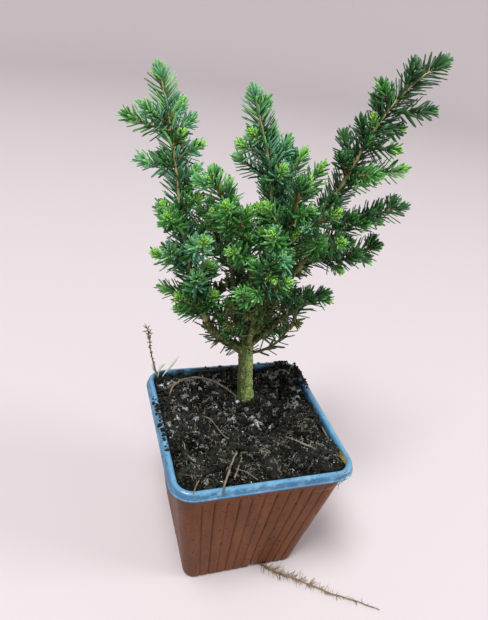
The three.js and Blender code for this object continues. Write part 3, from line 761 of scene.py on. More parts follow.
for crumb_name, seed, count, size, dark, light, spread in (
    ("crumbs_black", 31, 4800, (0.3, 2.2), tone(9, 10, 8), tone(52, 52, 47), on_peat),
    ("crumbs_grey", 34, 2600, (0.2, 0.95), tone(94, 98, 97), tone(156, 160, 158), in_patches),
    ("crumbs_brown", 32, 1600, (0.2, 0.9), tone(70, 62, 50), tone(104, 96, 80), on_peat),
    ("crumbs_at_foot", 37, 420, (0.3, 1.2), tone(26, 25, 21), tone(66, 62, 52), round_foot),
):
    random = np.random.default_rng(seed)
    points, faces = scattered_lumps(random, spread(random, count), size, 0.8)
    mesh = made_mesh(crumb_name, points, triangles=faces, smooth=False)
    add_piece(crumb_name, mesh, [peat_material(crumb_name, dark, light)])


def pale_fleck_material():
    """Grey-white mineral flecks and threads of mould."""
    material, shader = new_material("pale_fleck", 0.8, 0.3)
    clouds = place_effect(material, mottle, Scale=200.0, Low=0.35, High=0.65)
    base = mixed_colour(material, clouds, tone(152, 158, 156), tone(206, 212, 210))
    return coloured(material, shader, base)


random = np.random.default_rng(33)
flecked = np.concatenate([on_peat(random, 560), in_patches(random, 1700)])
points, faces = scattered_lumps(random, flecked, (0.14, 0.85), 0.35)
pale_fleck = pale_fleck_material()
add_piece("pale_flecks", made_mesh("pale_flecks", points, triangles=faces), [pale_fleck])

# Threads and shreds on the peat: dry fibre and fine dead roots, and the grey and white
# threads of mould. Each is a thin strand that wanders along the surface.


def curve_points(control, shares):
    """Points on a Bezier curve of any degree, at shares of its parameter."""
    shares = np.atleast_1d(shares)[:, None]
    level = [np.repeat(np.asarray(point, dtype=float)[None], len(shares), 0) for point in control]
    while len(level) > 1:
        level = [a + (b - a) * shares for a, b in zip(level, level[1:])]
    return level[0]


def curve_tangents(control, shares):
    """The unit directions in which a Bezier curve runs."""
    steps = [np.subtract(b, a) for a, b in zip(control, control[1:])]
    along = curve_points(steps, shares)
    return along / np.linalg.norm(along, axis=1)[:, None]


def even_shares(control, count):
    """Shares of a curve's parameter that cut it in pieces of equal length, and its length."""
    fine = np.linspace(0, 1, 201)
    points = curve_points(control, fine)
    run = np.concatenate([[0], np.cumsum(np.linalg.norm(np.diff(points, axis=0), axis=1))])
    return np.interp(np.linspace(0, run[-1], count + 1), run, fine), run[-1]


def rings_along(points, tangents, radii, sides, relief=None):
    """Rings of points round a line, without twist. relief adds height to the surface."""
    across = np.cross(tangents[0], [0.31, 0.27, 0.91])
    across /= np.linalg.norm(across)
    angles = np.arange(sides) * 2 * math.pi / sides
    rings = []
    for point, tangent, radius in zip(points, tangents, radii):
        across = across - tangent * (across @ tangent)
        across /= np.linalg.norm(across)
        up = np.cross(tangent, across)
        spokes = np.cos(angles)[:, None] * across + np.sin(angles)[:, None] * up
        reach = np.full(sides, radius)
        if relief is not None:
            reach = reach + relief(point + spokes * radius, radius)
        rings.append(point + spokes * reach[:, None])
    return np.concatenate(rings)


def tube(points, tangents, radii, sides, relief=None):
    """A closed tube round a line: its points, its faces of four and its end fans."""
    rings = rings_along(points, tangents, radii, sides, relief)
    return closed_stack(rings, sides, points[0], points[-1])


def curve_tube(control, shares, radii, sides, relief=None):
    """A closed tube along a Bezier curve."""
    return tube(curve_points(control, shares), curve_tangents(control, shares), radii, sides, relief)


def line_tangents(points):
    """The unit directions in which a line of points runs."""
    tangents = np.gradient(points, axis=0)
    return tangents / np.linalg.norm(tangents, axis=1)[:, None]


def wandering_strand(random, start, bearing, length, radius, wobble, lift=0.25):
    """A thin strand that wanders over the peat, thinning toward its end."""
    steps = max(4, int(length / 0.8))
    points = [np.array(start, dtype=float)]
    turn = bearing
    for _ in range(steps):
        turn += random.normal(0, wobble)
        step = np.array([math.cos(turn), math.sin(turn), 0]) * length / steps
        points.append(points[-1] + step)
    points = np.array(points)
    ground = soil_height(points[:, 0], points[:, 1])
    arch = np.sin(np.linspace(0, math.pi, len(points)))
    points[:, 2] = ground + radius * 0.5 + lift * arch * random.uniform(0.3, 2.2)
    return points, line_tangents(points), radius * np.linspace(1, 0.45, len(points))


def fibre_material(name, dark, light):
    """Dry plant fibre in two near tones."""
    material, shader = new_material(name, 0.8, 0.3)
    clouds = place_effect(material, mottle, Scale=240.0, Low=0.35, High=0.65)
    base = mixed_colour(material, clouds, dark, light)
    coloured(material, shader, base)
    grain = place_effect(material, mottle, Scale=2600.0, Low=0.3, High=0.7)
    add_bump(material, shader, grain, 0.0001, 0.6)
    return material


dry_fibre = fibre_material("dry_fibre", tone(112, 104, 78), tone(170, 160, 126))
pale_fibre = fibre_material("pale_fibre", tone(158, 164, 164), tone(214, 220, 220))
grey_fibre = fibre_material("grey_fibre", tone(124, 126, 120), tone(184, 186, 178))
peat_fibre = fibre_material("peat_fibre", tone(78, 77, 66), tone(124, 122, 108))
for strand_name, seed, count, lengths, radius, material in (
    ("dry_fibres", 41, 380, (2.0, 10.0), 0.13, dry_fibre),
    ("peat_fibres", 43, 1500, (1.2, 5.0), 0.12, peat_fibre),
    ("grey_threads", 44, 2600, (0.8, 3.6), 0.13, grey_fibre),
    ("mould_threads", 42, 3500, (0.6, 3.2), 0.15, pale_fibre),
):
    random = np.random.default_rng(seed)
    strands = Bundle()
    starts = in_patches(random, count) if strand_name == "mould_threads" else on_peat(random, count, 4.0)
    for start in starts:
        length = random.uniform(*lengths)
        line = wandering_strand(random, start, random.uniform(0, 6.28), length, radius, 0.3)
        strands.add(*tube(*line, 3))
    add_piece(strand_name, strands.mesh(strand_name), [material])

# Crumbs spilled on the rolled rim: bits of the same peat, thickest at its left and at
# its back right corner. Each heap has a middle, a spread along the rim and a count.
spilled_heaps = (
    (-43, 10, 6, 90), (-43, -8, 7, 50), (42.4, 33, 3, 110), (42.6, 24, 4, 60), (34, 43, 5, 50),
    (8, 43, 14, 30),
)


def spilled_crumbs():
    """Every crumb on the rim, heap by heap. One that would fall off its outer edge is left out."""
    random = np.random.default_rng(35)
    spilled = Bundle()
    for x, y, spread, count in spilled_heaps:
        for _ in range(count):
            across = random.normal(0, 0.9)
            along = random.normal(0, spread)
            place = [x + across, y + along] if abs(x) > abs(y) else [x + along, y + across]
            if max(abs(place[0]), abs(place[1])) > rim_half_outer - 1.2:
                continue
            radius = random.uniform(0.25, 1.4) * random.uniform(0.4, 1)
            shape = lump_corners * random.uniform(0.6, 1.25, (len(lump_corners), 1)) * radius
            from_crest = max(abs(place[0]), abs(place[1])) - (rim_half_outer + wall_half_top - 2) / 2
            spilled.add(shape + [*place, rim_top - 0.35 * from_crest ** 2], triangles=lump_faces())
    return spilled.mesh("rim_crumbs")


crumb_finish = peat_material("spilled_peat", tone(30, 27, 23), tone(58, 52, 44))
add_piece("rim_crumbs", spilled_crumbs(), [crumb_finish])

# Litter on the peat: an arching old root and bits of dry twig, one of them over the rim.
# They lie loose where they fell. Each is a crooked strand along a few chosen points.
litter = Bundle()


def lay_strand(control, radii, sides=7, steps=26, seed=51):
    """A strand of litter along a few chosen points, a little crooked."""
    shares, _ = even_shares(control, steps)
    points = curve_points(control, shares)
    tangents = curve_tangents(control, shares)
    points[:, 0] += 0.35 * smooth_noise(points + seed, 3.5, seed)
    points[:, 1] += 0.35 * smooth_noise(points - seed, 3.5, seed + 1)
    thick = np.interp(np.linspace(0, 1, steps + 1), [0, 1], radii)
    knots = lambda place, radius: 0.3 * radius * smooth_noise(place, 1.4, seed)
    litter.add(*tube(points, tangents, thick, sides, knots))


arching_root = [(-34.5, 24.5, 76.6), (-33, 38, 84.5), (-9, 41, 83), (-0.5, 22, 80.5), (3.5, 12.5, 79.2)]
lay_strand(arching_root, (0.38, 0.52), 8, 70)
lay_strand([(-35, 30, 80.2), (-24, 35.5, 82.4), (-12, 34, 80.6)], (0.25, 0.2), 6, 24, 52)
over_rim = [(-9.5, -20, 79.2), (-14, -28, 81.6), (-19.5, -37, 83), (-23, -44.8, 82.6)]
lay_strand(over_rim, (0.4, 0.55), 7, 26, 53)
lay_strand([(-8, -24, 79.3), (-11, -30, 80.8), (-15.5, -36.5, 80.6)], (0.35, 0.45), 7, 20, 54)
lay_strand([(-13, -31, 80.4), (-8, -35, 81.2), (-5, -39.5, 80.6)], (0.3, 0.2), 6, 18, 55)
lay_strand([(15.5, -12.5, 79.4), (23, -19, 80.4), (31, -26.5, 79.8)], (0.3, 0.62), 7, 24, 56)
lay_strand([(37.5, 2.5, 79.4), (39.5, -11, 80.6), (39, -25, 80)], (0.28, 0.3), 6, 28, 57)
crooked_twig = [(-36, -5, 79.4), (-31, -13, 80.6), (-36.5, -19, 80.2), (-30, -24, 79.8)]
lay_strand(crooked_twig, (0.22, 0.25), 6, 28, 58)
lay_strand([(-29, -32, 80), (-33, -38, 82.4), (-35.5, -43.2, 82.2)], (0.25, 0.35), 6, 18, 59)
lay_strand([(33, 33, 76.6), (36, 30.5, 84), (36.5, 30, 91)], (0.3, 0.2), 6, 18, 60)
lay_strand([(-20, 6, 79.6), (-14, 1, 80.8), (-17, -8, 80.6), (-11, -12, 80)], (0.26, 0.22), 6, 26, 61)
hanging_shred = [(39, -40, 81), (38, -46, 84.5), (36, -46.6, 78), (30, -45.2, 74), (24, -43.2, 72)]
lay_strand(hanging_shred, (0.16, 0.1), 5, 40, 62)
lay_strand([(33, -42, 81.5), (33, -47, 83.5), (34, -45.8, 78), (35, -44.2, 72)], (0.13, 0.08), 5, 30, 63)
twig_litter = fibre_material("twig_litter", tone(90, 82, 66), tone(142, 131, 110))
add_piece("twig_litter", litter.mesh("twig_litter"), [twig_litter])

# The dry leaf: narrow, dull olive and stiff, folded along its midrib and curled up at
# both sides. It lies along the rim in the front right corner.
leaf_base = np.array([38.2, -23.5, 79.6])
leaf_tip = np.array([40.6, -39.6, 80.6])
leaf_half_width = 1.6
leaf_thickness = 0.16
leaf_arch = 1.3


def curled_leaf():
    """The leaf's upper and lower face, and the edge between them."""
    along = np.linspace(0, 1, 15)
    across = np.linspace(-1, 1, 7)
    rows = []
    for share in along:
        width = leaf_half_width * math.sin(math.pi * min(0.12 + 0.88 * share, 0.98)) ** 0.7
        middle = leaf_base + (leaf_tip - leaf_base) * share + [0, 0, leaf_arch * math.sin(math.pi * share)]
        rows.append([middle + [u * width, 0.2 * u * width, 0.55 * abs(u) ** 1.5 * width] for u in across])
    top = np.array(rows).reshape(-1, 3)
    points = np.concatenate([top, top - [0, 0, leaf_thickness]])
    columns = len(across)
    quads = []
    for row in range(len(along) - 1):
        for column in range(columns - 1):
            a = row * columns + column
            face = [a, a + 1, a + 1 + columns, a + columns]
            quads.append(face[::-1])
            quads.append([corner + len(top) for corner in face])
    edge = list(range(columns))
    edge += [row * columns + columns - 1 for row in range(1, len(along))]
    edge += list(range(len(top) - 2, len(top) - columns - 1, -1))
    edge += [row * columns for row in range(len(along) - 2, 0, -1)]
    for a, b in zip(edge, edge[1:] + edge[:1]):
        quads.append([a, b, b + len(top), a + len(top)])
    return made_mesh("dry_leaf", points, quads)


dry_leaf = fibre_material("dry_leaf", tone(84, 84, 42), tone(132, 122, 68))
add_piece("dry_leaf", curled_leaf(), [dry_leaf])

# The weed: a thin wiry seedling in the back left corner, with small tufts up its stem
# and three pale seed leaves at its foot. Each seed leaf has its foot, its bend and its tip.
weed_stem = [(-37.5, 36.0, 77.5), (-40.5, 36.2, 89), (-44.5, 37, 98), (-43.5, 38, 106), (-45.5, 38.5, 113)]
seed_leaves = (
    ((-37.8, 36.2, 80), (-34.5, 38, 85), (-27.5, 38.5, 94.5)),
    ((-38.6, 36.2, 83), (-42.5, 37.5, 88), (-41.5, 37, 92.5)),
    ((-38.6, 36.2, 83), (-39, 37.5, 88), (-35, 37.5, 91.5)),
)


def weed_mesh():
    """A thin wiry stem with small tufts up it, the largest at its tip."""
    random = np.random.default_rng(65)
    shares, _ = even_shares(weed_stem, 26)
    points = curve_points(weed_stem, shares)
    weed = Bundle()
    weed.add(*tube(points, curve_tangents(weed_stem, shares), np.linspace(0.42, 0.2, len(points)), 6))
    for k, place in enumerate(points[8:]):
        hair_length = 1.2 + 1.8 * eased((k - 10) / 6)
        for _ in range(4):
            way = random.normal(0, 1, 3) + [0, 0, 0.8]
            way /= np.linalg.norm(way)
            line = np.array([place, place + way * 0.45 * hair_length, place + way * hair_length])
            weed.add(*tube(line, np.repeat(way[None], 3, 0), [0.16, 0.34, 0.08], 5))
    return weed.mesh("weed_sprig")


def seed_leaf_mesh():
    """The weed's pale seed leaves, thin at the foot and broad near the tip."""
    leaves = Bundle()
    along = np.linspace(0, 1, 9)
    thick = [0.16, 0.16, 0.18, 0.32, 0.62, 0.85, 0.88, 0.6, 0.12]
    for leaf in seed_leaves:
        leaves.add(*curve_tube(leaf, along, thick, 6))
    return leaves.mesh("weed_seed_leaves")


weed_green = fibre_material("weed_green", tone(88, 84, 56), tone(138, 132, 96))
seed_leaf = fibre_material("seed_leaf", tone(196, 206, 184), tone(236, 240, 230))
add_piece("weed_sprig", weed_mesh(), [weed_green])
add_piece("weed_seed_leaves", seed_leaf_mesh(), [seed_leaf])

# White grits: a few pale stones, the largest beside the trunk. Each has its place on
# the peat and its radius.
grits = (
    ((0.4, 13.4), 1.5), ((1.6, 12.0), 1.3), ((-1.0, 15.0), 1.1), ((-33.5, 34.0), 1.2), ((-8, 22), 0.9),
    ((12, -6), 0.7), ((-22, -8), 0.6), ((-18, -19), 0.6),
)


def grit_mesh():
    """Every grit as one flattened lump, half sunk in the peat."""
    stones = Bundle()
    random = np.random.default_rng(67)
    for place, radius in grits:
        ground = soil_height(np.array([place[0]]), np.array([place[1]]))[0]
        shape = lump_corners * random.uniform(0.7, 1.2, (len(lump_corners), 1)) * [1.2, 0.9, 0.6]
        stones.add(shape * radius + [*place, ground + 0.4 * radius], triangles=lump_faces())
    return stones.mesh("white_grit")


add_piece("white_grit", grit_mesh(), [pale_fleck])

# The stray root: a feeding root that crept out of the front drain slot and lies on the
# ground toward the front right. It is tan, kinked, and hairy with fine side roots.
root_start = np.array([9.0, -28.4, 0.75])
root_reach = 69.0
root_bearing = math.radians(325)
root_bow = 3.0
root_steps = 150
root_hairs = 155


def stray_root_mesh():
    """The root along the same curve as its solid, with side roots and hairs."""
    random = np.random.default_rng(71)
    tip = root_start + root_reach * np.array([math.cos(root_bearing), math.sin(root_bearing), 0])
    middle = root_start + (tip - root_start) * 0.3 - [0, root_bow, 0]
    shares, _ = even_shares([root_start, middle, tip], root_steps)
    points = curve_points([root_start, middle, tip], shares)
    kink = eased(shares / 0.06)
    points[:, 1] += 0.8 * smooth_noise(points, 7, 72) * kink
    points[:, 0] += 0.5 * smooth_noise(points, 5, 73) * kink
    points[:, 2] += 0.35 * np.abs(smooth_noise(points, 6, 74)) * kink
    radii = np.interp(shares, [0, 0.25, 1], [0.62, 0.5, 0.22])
    roots = Bundle()
    knots = lambda place, radius: 0.35 * radius * smooth_noise(place, 0.9, 75)
    roots.add(*tube(points, line_tangents(points), radii, 9, knots))
    for _ in range(root_hairs):
        share = 0.05 + 0.93 * random.beta(1.0, 1.9)
        start = points[int(share * (root_steps - 1))]
        turn = root_bearing + random.choice([-1, 1]) * random.uniform(0.6, 1.7)
        hair_length = random.uniform(1.2, 5.8) * (1.2 - 0.75 * share)
        rise = random.uniform(-0.05, 0.5)
        way = np.array([math.cos(turn), math.sin(turn), rise])
        bend = start + way * hair_length * 0.5 + random.normal(0, 0.4, 3)
        end = start + way * hair_length
        bend[2] = max(bend[2], 0.2)
        end[2] = max(end[2], 0.15)
        roots.add(*curve_tube([start, bend, end], np.linspace(0, 1, 7), np.linspace(0.16, 0.05, 7), 5))
    return roots.mesh("stray_root")


root_fibre = fibre_material("root_fibre", tone(96, 78, 54), tone(150, 128, 94))
add_piece("fine_root", stray_root_mesh(), [root_fibre], ["stray_root"])

# The trunk and its boughs: young wood with thin scaly bark, greenish with algae on the
# trunk and greyer above. Each limb leaves the one that carries it in a small collar.
limb_seam = 0.3
limb_handle = 0.36
root_flare = 1.6
trunk_sides = 72
trunk_step = 0.4
bough_sides = 30
bough_step = 0.55
collar_width = 0.7
# A limb's tip lies so far out (reach) toward a bearing and so far up (rise), as in the CAD.
# leave and arrive are the bearing and pitch of its ends, and radius its two radii.
limbs = {
    "trunk": dict(reach=3, bearing=162, rise=63, leave=(150, 84), arrive=(338, 81), radius=(4.1, 3.2)),
    "middle_bough": dict(
        reach=4, bearing=56, rise=22, leave=(338, 81), arrive=(42, 79), radius=(2.5, 2.1),
    ),
    "left_bough": dict(
        start=33, reach=22, bearing=171, rise=16.5, leave=(165, 18), arrive=(178, 64),
        radius=(2.5, 2.1),
    ),
    "right_bough": dict(
        start=57, reach=24, bearing=2, rise=43, leave=(6, 50), arrive=(358, 62), radius=(2.7, 2.3),
    ),
    "mid_left_bough": dict(
        start=52, reach=7, bearing=215, rise=33, leave=(215, 50), arrive=(195, 74), radius=(1.8, 1.5),
    ),
    "right_low_bough": dict(
        start=46, reach=20, bearing=350, rise=38, leave=(345, 40), arrive=(2, 52), radius=(1.9, 1.6),
    ),
    "right_out_bough": dict(
        start=42, reach=27, bearing=10, rise=38, leave=(30, 48), arrive=(358, 20), radius=(1.8, 1.5),
    ),
    "front_bough": dict(
        start=44, reach=8, bearing=300, rise=29, leave=(290, 35), arrive=(288, 78), radius=(1.8, 1.5),
    ),
    "centre_front_bough": dict(
        start=38, reach=11, bearing=258, rise=29, leave=(258, 35), arrive=(256, 60), radius=(1.7, 1.4),
    ),
    "low_front_right_bough": dict(
        start=37, reach=15, bearing=322, rise=20, leave=(325, 35), arrive=(326, 50), radius=(1.6, 1.3),
    ),
    "back_left_bough": dict(
        start=40, reach=15, bearing=118, rise=27, leave=(118, 38), arrive=(112, 65), radius=(1.9, 1.6),
    ),
    "back_right_bough": dict(
        start=45, reach=15, bearing=62, rise=27, leave=(62, 38), arrive=(58, 62), radius=(1.9, 1.6),
    ),
}


def direction(bearing, pitch):
    """The unit vector toward a bearing and a pitch, both in degrees."""
    turn = math.radians(bearing)
    lift = math.radians(pitch)
    return np.array([math.cos(turn) * math.cos(lift), math.sin(turn) * math.cos(lift), math.sin(lift)])


def limb_axis(base, limb):
    """The curve of a limb from its base, worked out from its reach, rise and end directions."""
    tip = base + direction(limb["bearing"], 0) * limb["reach"] + [0, 0, limb["rise"]]
    span = np.linalg.norm(tip - base) * limb_handle
    return [base, base + direction(*limb["leave"]) * span, tip - direction(*limb["arrive"]) * span, tip]


def limb_axes():
    """Every limb's curve, from the trunk up."""
    axes = {"trunk": limb_axis(foot, limbs["trunk"])}
    trunk = axes["trunk"]
    for name, limb in limbs.items():
        if name == "middle_bough":
            base = curve_points(trunk, 1)[0] + curve_tangents(trunk, 1)[0] * limb_seam
        elif name == "trunk":
            continue
        else:
            base = curve_points(trunk, limb["start"] / limbs["trunk"]["rise"])[0]
        axes[name] = limb_axis(base, limb)
    return axes


axes = limb_axes()


def bark_relief(scale, depth):
    """Thin scales, long along the limb, with small knots where needles once sat."""
    def relief(place, radius):
        stretched = place * [1, 1, 0.45] / scale
        plates = smooth_noise(stretched, 1.5, 81)
        cracks = np.abs(smooth_noise(stretched, 0.8, 82))
        knots = np.maximum(smooth_noise(place, 1.1, 83) - 0.45, 0)
        return depth * (0.6 * plates - 0.55 * eased(1 - cracks / 0.22) + 1.3 * knots)
    return relief


def limb_mesh(name):
    """One limb with its bark in relief, from just inside its carrier to just inside its mass."""
    axis = axes[name]
    base_radius, tip_radius = limbs[name]["radius"]
    is_trunk = name == "trunk"
    sides, step = (trunk_sides, trunk_step) if is_trunk else (bough_sides, bough_step)
    _, length = even_shares(axis, 2)
    steps = int(length / step)
    shares, length = even_shares(axis, steps)
    even = np.linspace(0, 1, steps + 1)
    radii = base_radius + (tip_radius - base_radius) * even
    points = curve_points(axis, shares)
    tangents = curve_tangents(axis, shares)
    if is_trunk:
        radii += 0.5 * root_flare * np.exp(-12 * even)
        radii -= (tip_radius - limbs["middle_bough"]["radius"][0] - 0.2) * eased((even - 0.86) / 0.14)
    elif name != "middle_bough":
        radii += collar_width * np.exp(-np.maximum(even * length - limbs["trunk"]["radius"][1], 0) / 2.2)
    relief = bark_relief(1.0, 0.7) if is_trunk else bark_relief(0.7, 0.24)
    surface, quads, fans = tube(points, tangents, radii, sides, relief)
    if is_trunk:
        lowest = surface[:, 2] < foot[2] + root_flare
        surface[lowest, 2] = np.minimum(surface[lowest, 2], foot[2] + 0.4)
        turns = np.arctan2(surface[:, 1] - foot[1], surface[:, 0] - foot[0])
        near_foot = np.exp(-np.maximum(surface[:, 2] - foot[2], 0) / 3.0)
        lobes = 0.08 * near_foot * np.cos(3 * turns + 0.8)
        surface[:, :2] = foot[:2] + (surface[:, :2] - foot[:2]) * (1 + lobes)[:, None]
    return made_mesh(name, surface, quads, fans)


def bark_material(name, dark, light, algae, green_share):
    """Scaly bark: two browns in patches, algae in others, pale rubbed scales, dark pits, and painted shade
    in dark green on the side that faces -X.
    """
    material, shader = new_material(name, 0.8, 0.3)
    patches = place_effect(material, mottle, Scale=460.0, Low=0.42, High=0.58, Stretch=(1.0, 1.0, 0.6))
    fewest = 0.62 - green_share / 2
    green = place_effect(material, mottle, Scale=330.0, Low=fewest, High=fewest + 0.13)
    rubbed = place_effect(material, mottle, Scale=1300.0, Low=0.54, High=0.66, Stretch=(1.0, 1.0, 0.5))
    pits = place_effect(material, specks, Scale=1300.0, Size=0.46, Patchiness=0.8, Stretch=(1.0, 1.0, 0.6))
    base = mixed_colour(material, patches, dark, light)
    base = mixed_colour(material, green, base, algae)
    base = mixed_colour(material, rubbed, base, tone(194, 200, 144))
    # Painted shade: the side that faces -X is painted dark green.
    base = mixed_colour(material, facing(material, "X", -0.2, -1.2), base, tone(44, 58, 24))
    base = mixed_colour(material, pits, base, tone(56, 56, 32))
    coloured(material, shader, base)
    grain = place_effect(material, mottle, Scale=2400.0, Low=0.2, High=0.8, Stretch=(1.0, 1.0, 0.5))
    add_bump(material, shader, grain, 0.00025, 0.9)
    return material


trunk_bark = bark_material("trunk_bark", tone(70, 76, 40), tone(166, 176, 108), tone(118, 146, 74), 0.44)
bough_bark = bark_material("bough_bark", tone(82, 82, 50), tone(122, 120, 76), tone(100, 116, 62), 0.34)
for limb_name in limbs:
    bark = trunk_bark if limb_name == "trunk" else bough_bark
    add_piece(limb_name + "_wood", limb_mesh(limb_name), [bark], [limb_name])

# The shoots of the crown: each mass is a young stem that grows on from its bough or from
# the trunk, with side shoots set round it by the seeded rule of the solids and carried on
# to finer twigs. side lists the shoots whose tips tell: share of the stem, bearing, pitch, length.
masses = {
    "left_mass": dict(
        bough="left_bough", reach=33, bearing=140, rise=108, arrive=(146, 70), radius=(1.8, 0.9),
        fill=11, seed=12,
        side=[
            (0.03, 169, 12, 13), (0.04, 276, 56, 20), (0.07, 206, 34, 17), (0.12, 166, 12, 16),
            (0.13, 254, 50, 23), (0.17, 300, 62, 17), (0.27, 183, 22, 17), (0.28, 222, 37, 19),
            (0.31, 274, 38, 29), (0.42, 236, 34, 23), (0.43, 184, 48, 14), (0.5, 293, 40, 16),
            (0.59, 316, 50, 12), (0.67, 189, 11, 15), (0.7, 333, 36, 13), (0.79, 13, 32, 10),
            (0.8, 184, 16, 19), (0.82, 211, 29, 15), (0.84, 0, 55, 9),
        ],
    ),
    "mid_left_mass": dict(
        bough="mid_left_bough", reach=21, bearing=175, rise=40, arrive=(177, 72), radius=(1.3, 0.7),
        fill=5, seed=23,
        side=[
            (0.04, 222, 28, 21), (0.12, 100, 70, 12), (0.35, 214, 27, 12), (0.4, 340, 68, 10),
            (0.54, 185, 18, 9), (0.87, 189, 37, 6),
        ],
    ),
    "middle_mass": dict(
        bough="middle_bough", reach=16, bearing=146, rise=69, arrive=(162, 67), radius=(1.9, 0.9),
        fill=9, seed=37,
        side=[
            (0.05, 232, 43, 17), (0.15, 338, 62, 38), (0.22, 201, 41, 11), (0.27, 2, 70, 30),
            (0.46, 272, 46, 14), (0.54, 27, 58, 15), (0.62, 66, 66, 12), (0.65, 185, 17, 14),
            (0.73, 210, 24, 10),
        ],
    ),
    "right_mass": dict(
        bough="right_bough", reach=42, bearing=358, rise=75, arrive=(352, 32), radius=(2, 0.9), fill=9,
        seed=41,
        side=[
            (0.08, 255, 48, 15), (0.3, 205, 51, 11), (0.31, 292, 17, 15), (0.33, 346, 8, 24),
            (0.46, 327, 7, 14), (0.47, 195, 62, 11), (0.58, 10, -6, 14), (0.67, 347, 4, 18),
            (0.68, 174, 55, 10), (0.79, 250, 79, 10),
        ],
    ),
    "right_low_mass": dict(
        bough="right_low_bough", reach=43, bearing=356, rise=30, arrive=(351, 16), radius=(1.4, 0.7),
        fill=6, seed=53,
        side=[
            (0.13, 245, 34, 26), (0.2, 268, 30, 24), (0.42, 285, 58, 11), (0.5, 5, 30, 9),
        ],
    ),
    "right_out_mass": dict(
        bough="right_out_bough", reach=34, bearing=356, rise=10, arrive=(348, 30), radius=(1.3, 0.7),
        fill=6, seed=67,
        side=[
            (0.2, 320, 22, 17), (0.35, 35, 24, 15),
        ],
    ),
    "front_mass": dict(
        bough="front_bough", reach=11, bearing=275, rise=54, arrive=(222, 84), radius=(1.3, 0.7),
        fill=6, seed=71,
        side=[
            (0.42, 228, 35, 22), (0.58, 299, 39, 27),
        ],
    ),
    "centre_front_mass": dict(
        bough="centre_front_bough", reach=20, bearing=257, rise=31, arrive=(252, 46),
        radius=(1.2, 0.7), fill=6, seed=83,
        side=[
            (0.1, 215, 30, 17), (0.3, 292, 38, 19),
        ],
    ),
    "low_front_right_mass": dict(
        bough="low_front_right_bough", reach=17, bearing=332, rise=18, arrive=(335, 30),
        radius=(1.1, 0.7), fill=5, seed=97,
        side=[
            (0.1, 345, -8, 13), (0.3, 300, 24, 12),
        ],
    ),
    "back_left_mass": dict(
        bough="back_left_bough", reach=26, bearing=122, rise=26, arrive=(126, 40), radius=(1.3, 0.7),
        fill=9, seed=101,
    ),
    "back_right_mass": dict(
        bough="back_right_bough", reach=22, bearing=60, rise=40, arrive=(62, 60), radius=(1.3, 0.7),
        fill=9, seed=113,
    ),
    "back_low_mass": dict(
        start=36, reach=28, bearing=88, rise=32, leave=(88, 34), arrive=(86, 56), radius=(1.3, 0.7),
        fill=8, seed=127,
    ),
    "front_left_mass": dict(
        start=47, reach=17, bearing=238, rise=25, leave=(238, 38), arrive=(232, 58), radius=(1.1, 0.7),
        fill=6, seed=151,
    ),
    "low_back_left_mass": dict(
        start=38, reach=25, bearing=150, rise=25, leave=(146, 30), arrive=(154, 55), radius=(1.1, 0.7),
        fill=7, seed=157,
    ),
    "low_back_right_mass": dict(
        start=34, reach=27, bearing=38, rise=26, leave=(40, 30), arrive=(36, 50), radius=(1.1, 0.7),
        fill=7, seed=163,
    ),
    "inner_left_mass": dict(
        start=41, reach=17, bearing=205, rise=25, leave=(205, 36), arrive=(205, 62), radius=(1.1, 0.7),
        fill=8, seed=139,
    ),
    "inner_right_mass": dict(
        start=40, reach=24, bearing=2, rise=20, leave=(352, 34), arrive=(8, 38), radius=(1.1, 0.7),
        fill=6, seed=149,
    ),
    "low_right_mass": dict(
        start=31, reach=22, bearing=318, rise=39, leave=(338, 14), arrive=(302, 88), radius=(1, 0.6),
        fill=2, seed=131,
    ),
}
shoot_radius = (0.95, 0.55)
fill_shoot = dict(length=17, lean=52, first=0.1, last=0.93, turn=137.5)
clear_of = dict(twigs=3.2, limbs=0.6, soil=1.5)
leaders = ("left_mass", "middle_mass", "right_mass")
# Shoots of the rule that are only stubs on this plant, and the share that is left of them.
cut_short = {
    ("middle_mass", 8): 0.4, ("low_front_right_mass", 3): 0.2, ("back_low_mass", 1): 0.6,
    ("low_back_right_mass", 1): 0.5, ("low_back_right_mass", 2): 0.6,
}
# Masses of half-bare old wood low inside the crown, and masses whose sprays stand far apart.
old_wood = ("inner_left_mass", "inner_right_mass", "front_left_mass", "low_right_mass")
open_sprays = ("right_low_mass", "right_out_mass", "low_front_right_mass", "centre_front_mass")
# How far apart the finer twigs stand, how long they are at most, and how much of a stem or
# of a side shoot bears them. Then how far they lean, and how far their tips keep from the
# limbs, from other shoots and from the peat.
stem_twigs = dict(spacing=7.5, longest=8.5, share=0.85)
shoot_twigs = dict(spacing=5.5, longest=6.5, share=0.6)
finer_lean = (42, 60)
finer_clear_of = dict(limbs=2.0, shoots=2.2, soil=6)
# The share of the finer twigs that is left out, in most masses and in open ones.
left_out = 0.5
left_out_open = 0.8


def seeded(seed):
    """Repeatable random numbers between 0 and 1, the same as the solids are grown with."""
    state = seed
    while True:
        state = (state * 1664525 + 1013904223) % 4294967296
        yield state / 4294967296


def straight_pieces(axis, radius, count):
    """A curve as straight pieces: their starts, ends and radii."""
    shares, _ = even_shares(axis, count)
    points = curve_points(axis, shares)
    radii = radius[0] + (radius[1] - radius[0]) * np.arange(count) / count
    return np.column_stack([points[:-1], points[1:], radii])


def clearance(points, lines):
    """The clear distance from each point to the nearest of some straight pieces."""
    start, end, radii = lines[:, :3], lines[:, 3:6], lines[:, 6]
    span = end - start
    reach = points[:, None] - start[None]
    share = np.clip((reach * span).sum(-1) / (span * span).sum(-1), 0, 1)
    apart = np.linalg.norm(reach - share[..., None] * span, axis=-1)
    return (apart - radii).min(axis=1)


limb_lines = np.concatenate([straight_pieces(axes[name], limbs[name]["radius"], 12) for name in limbs])


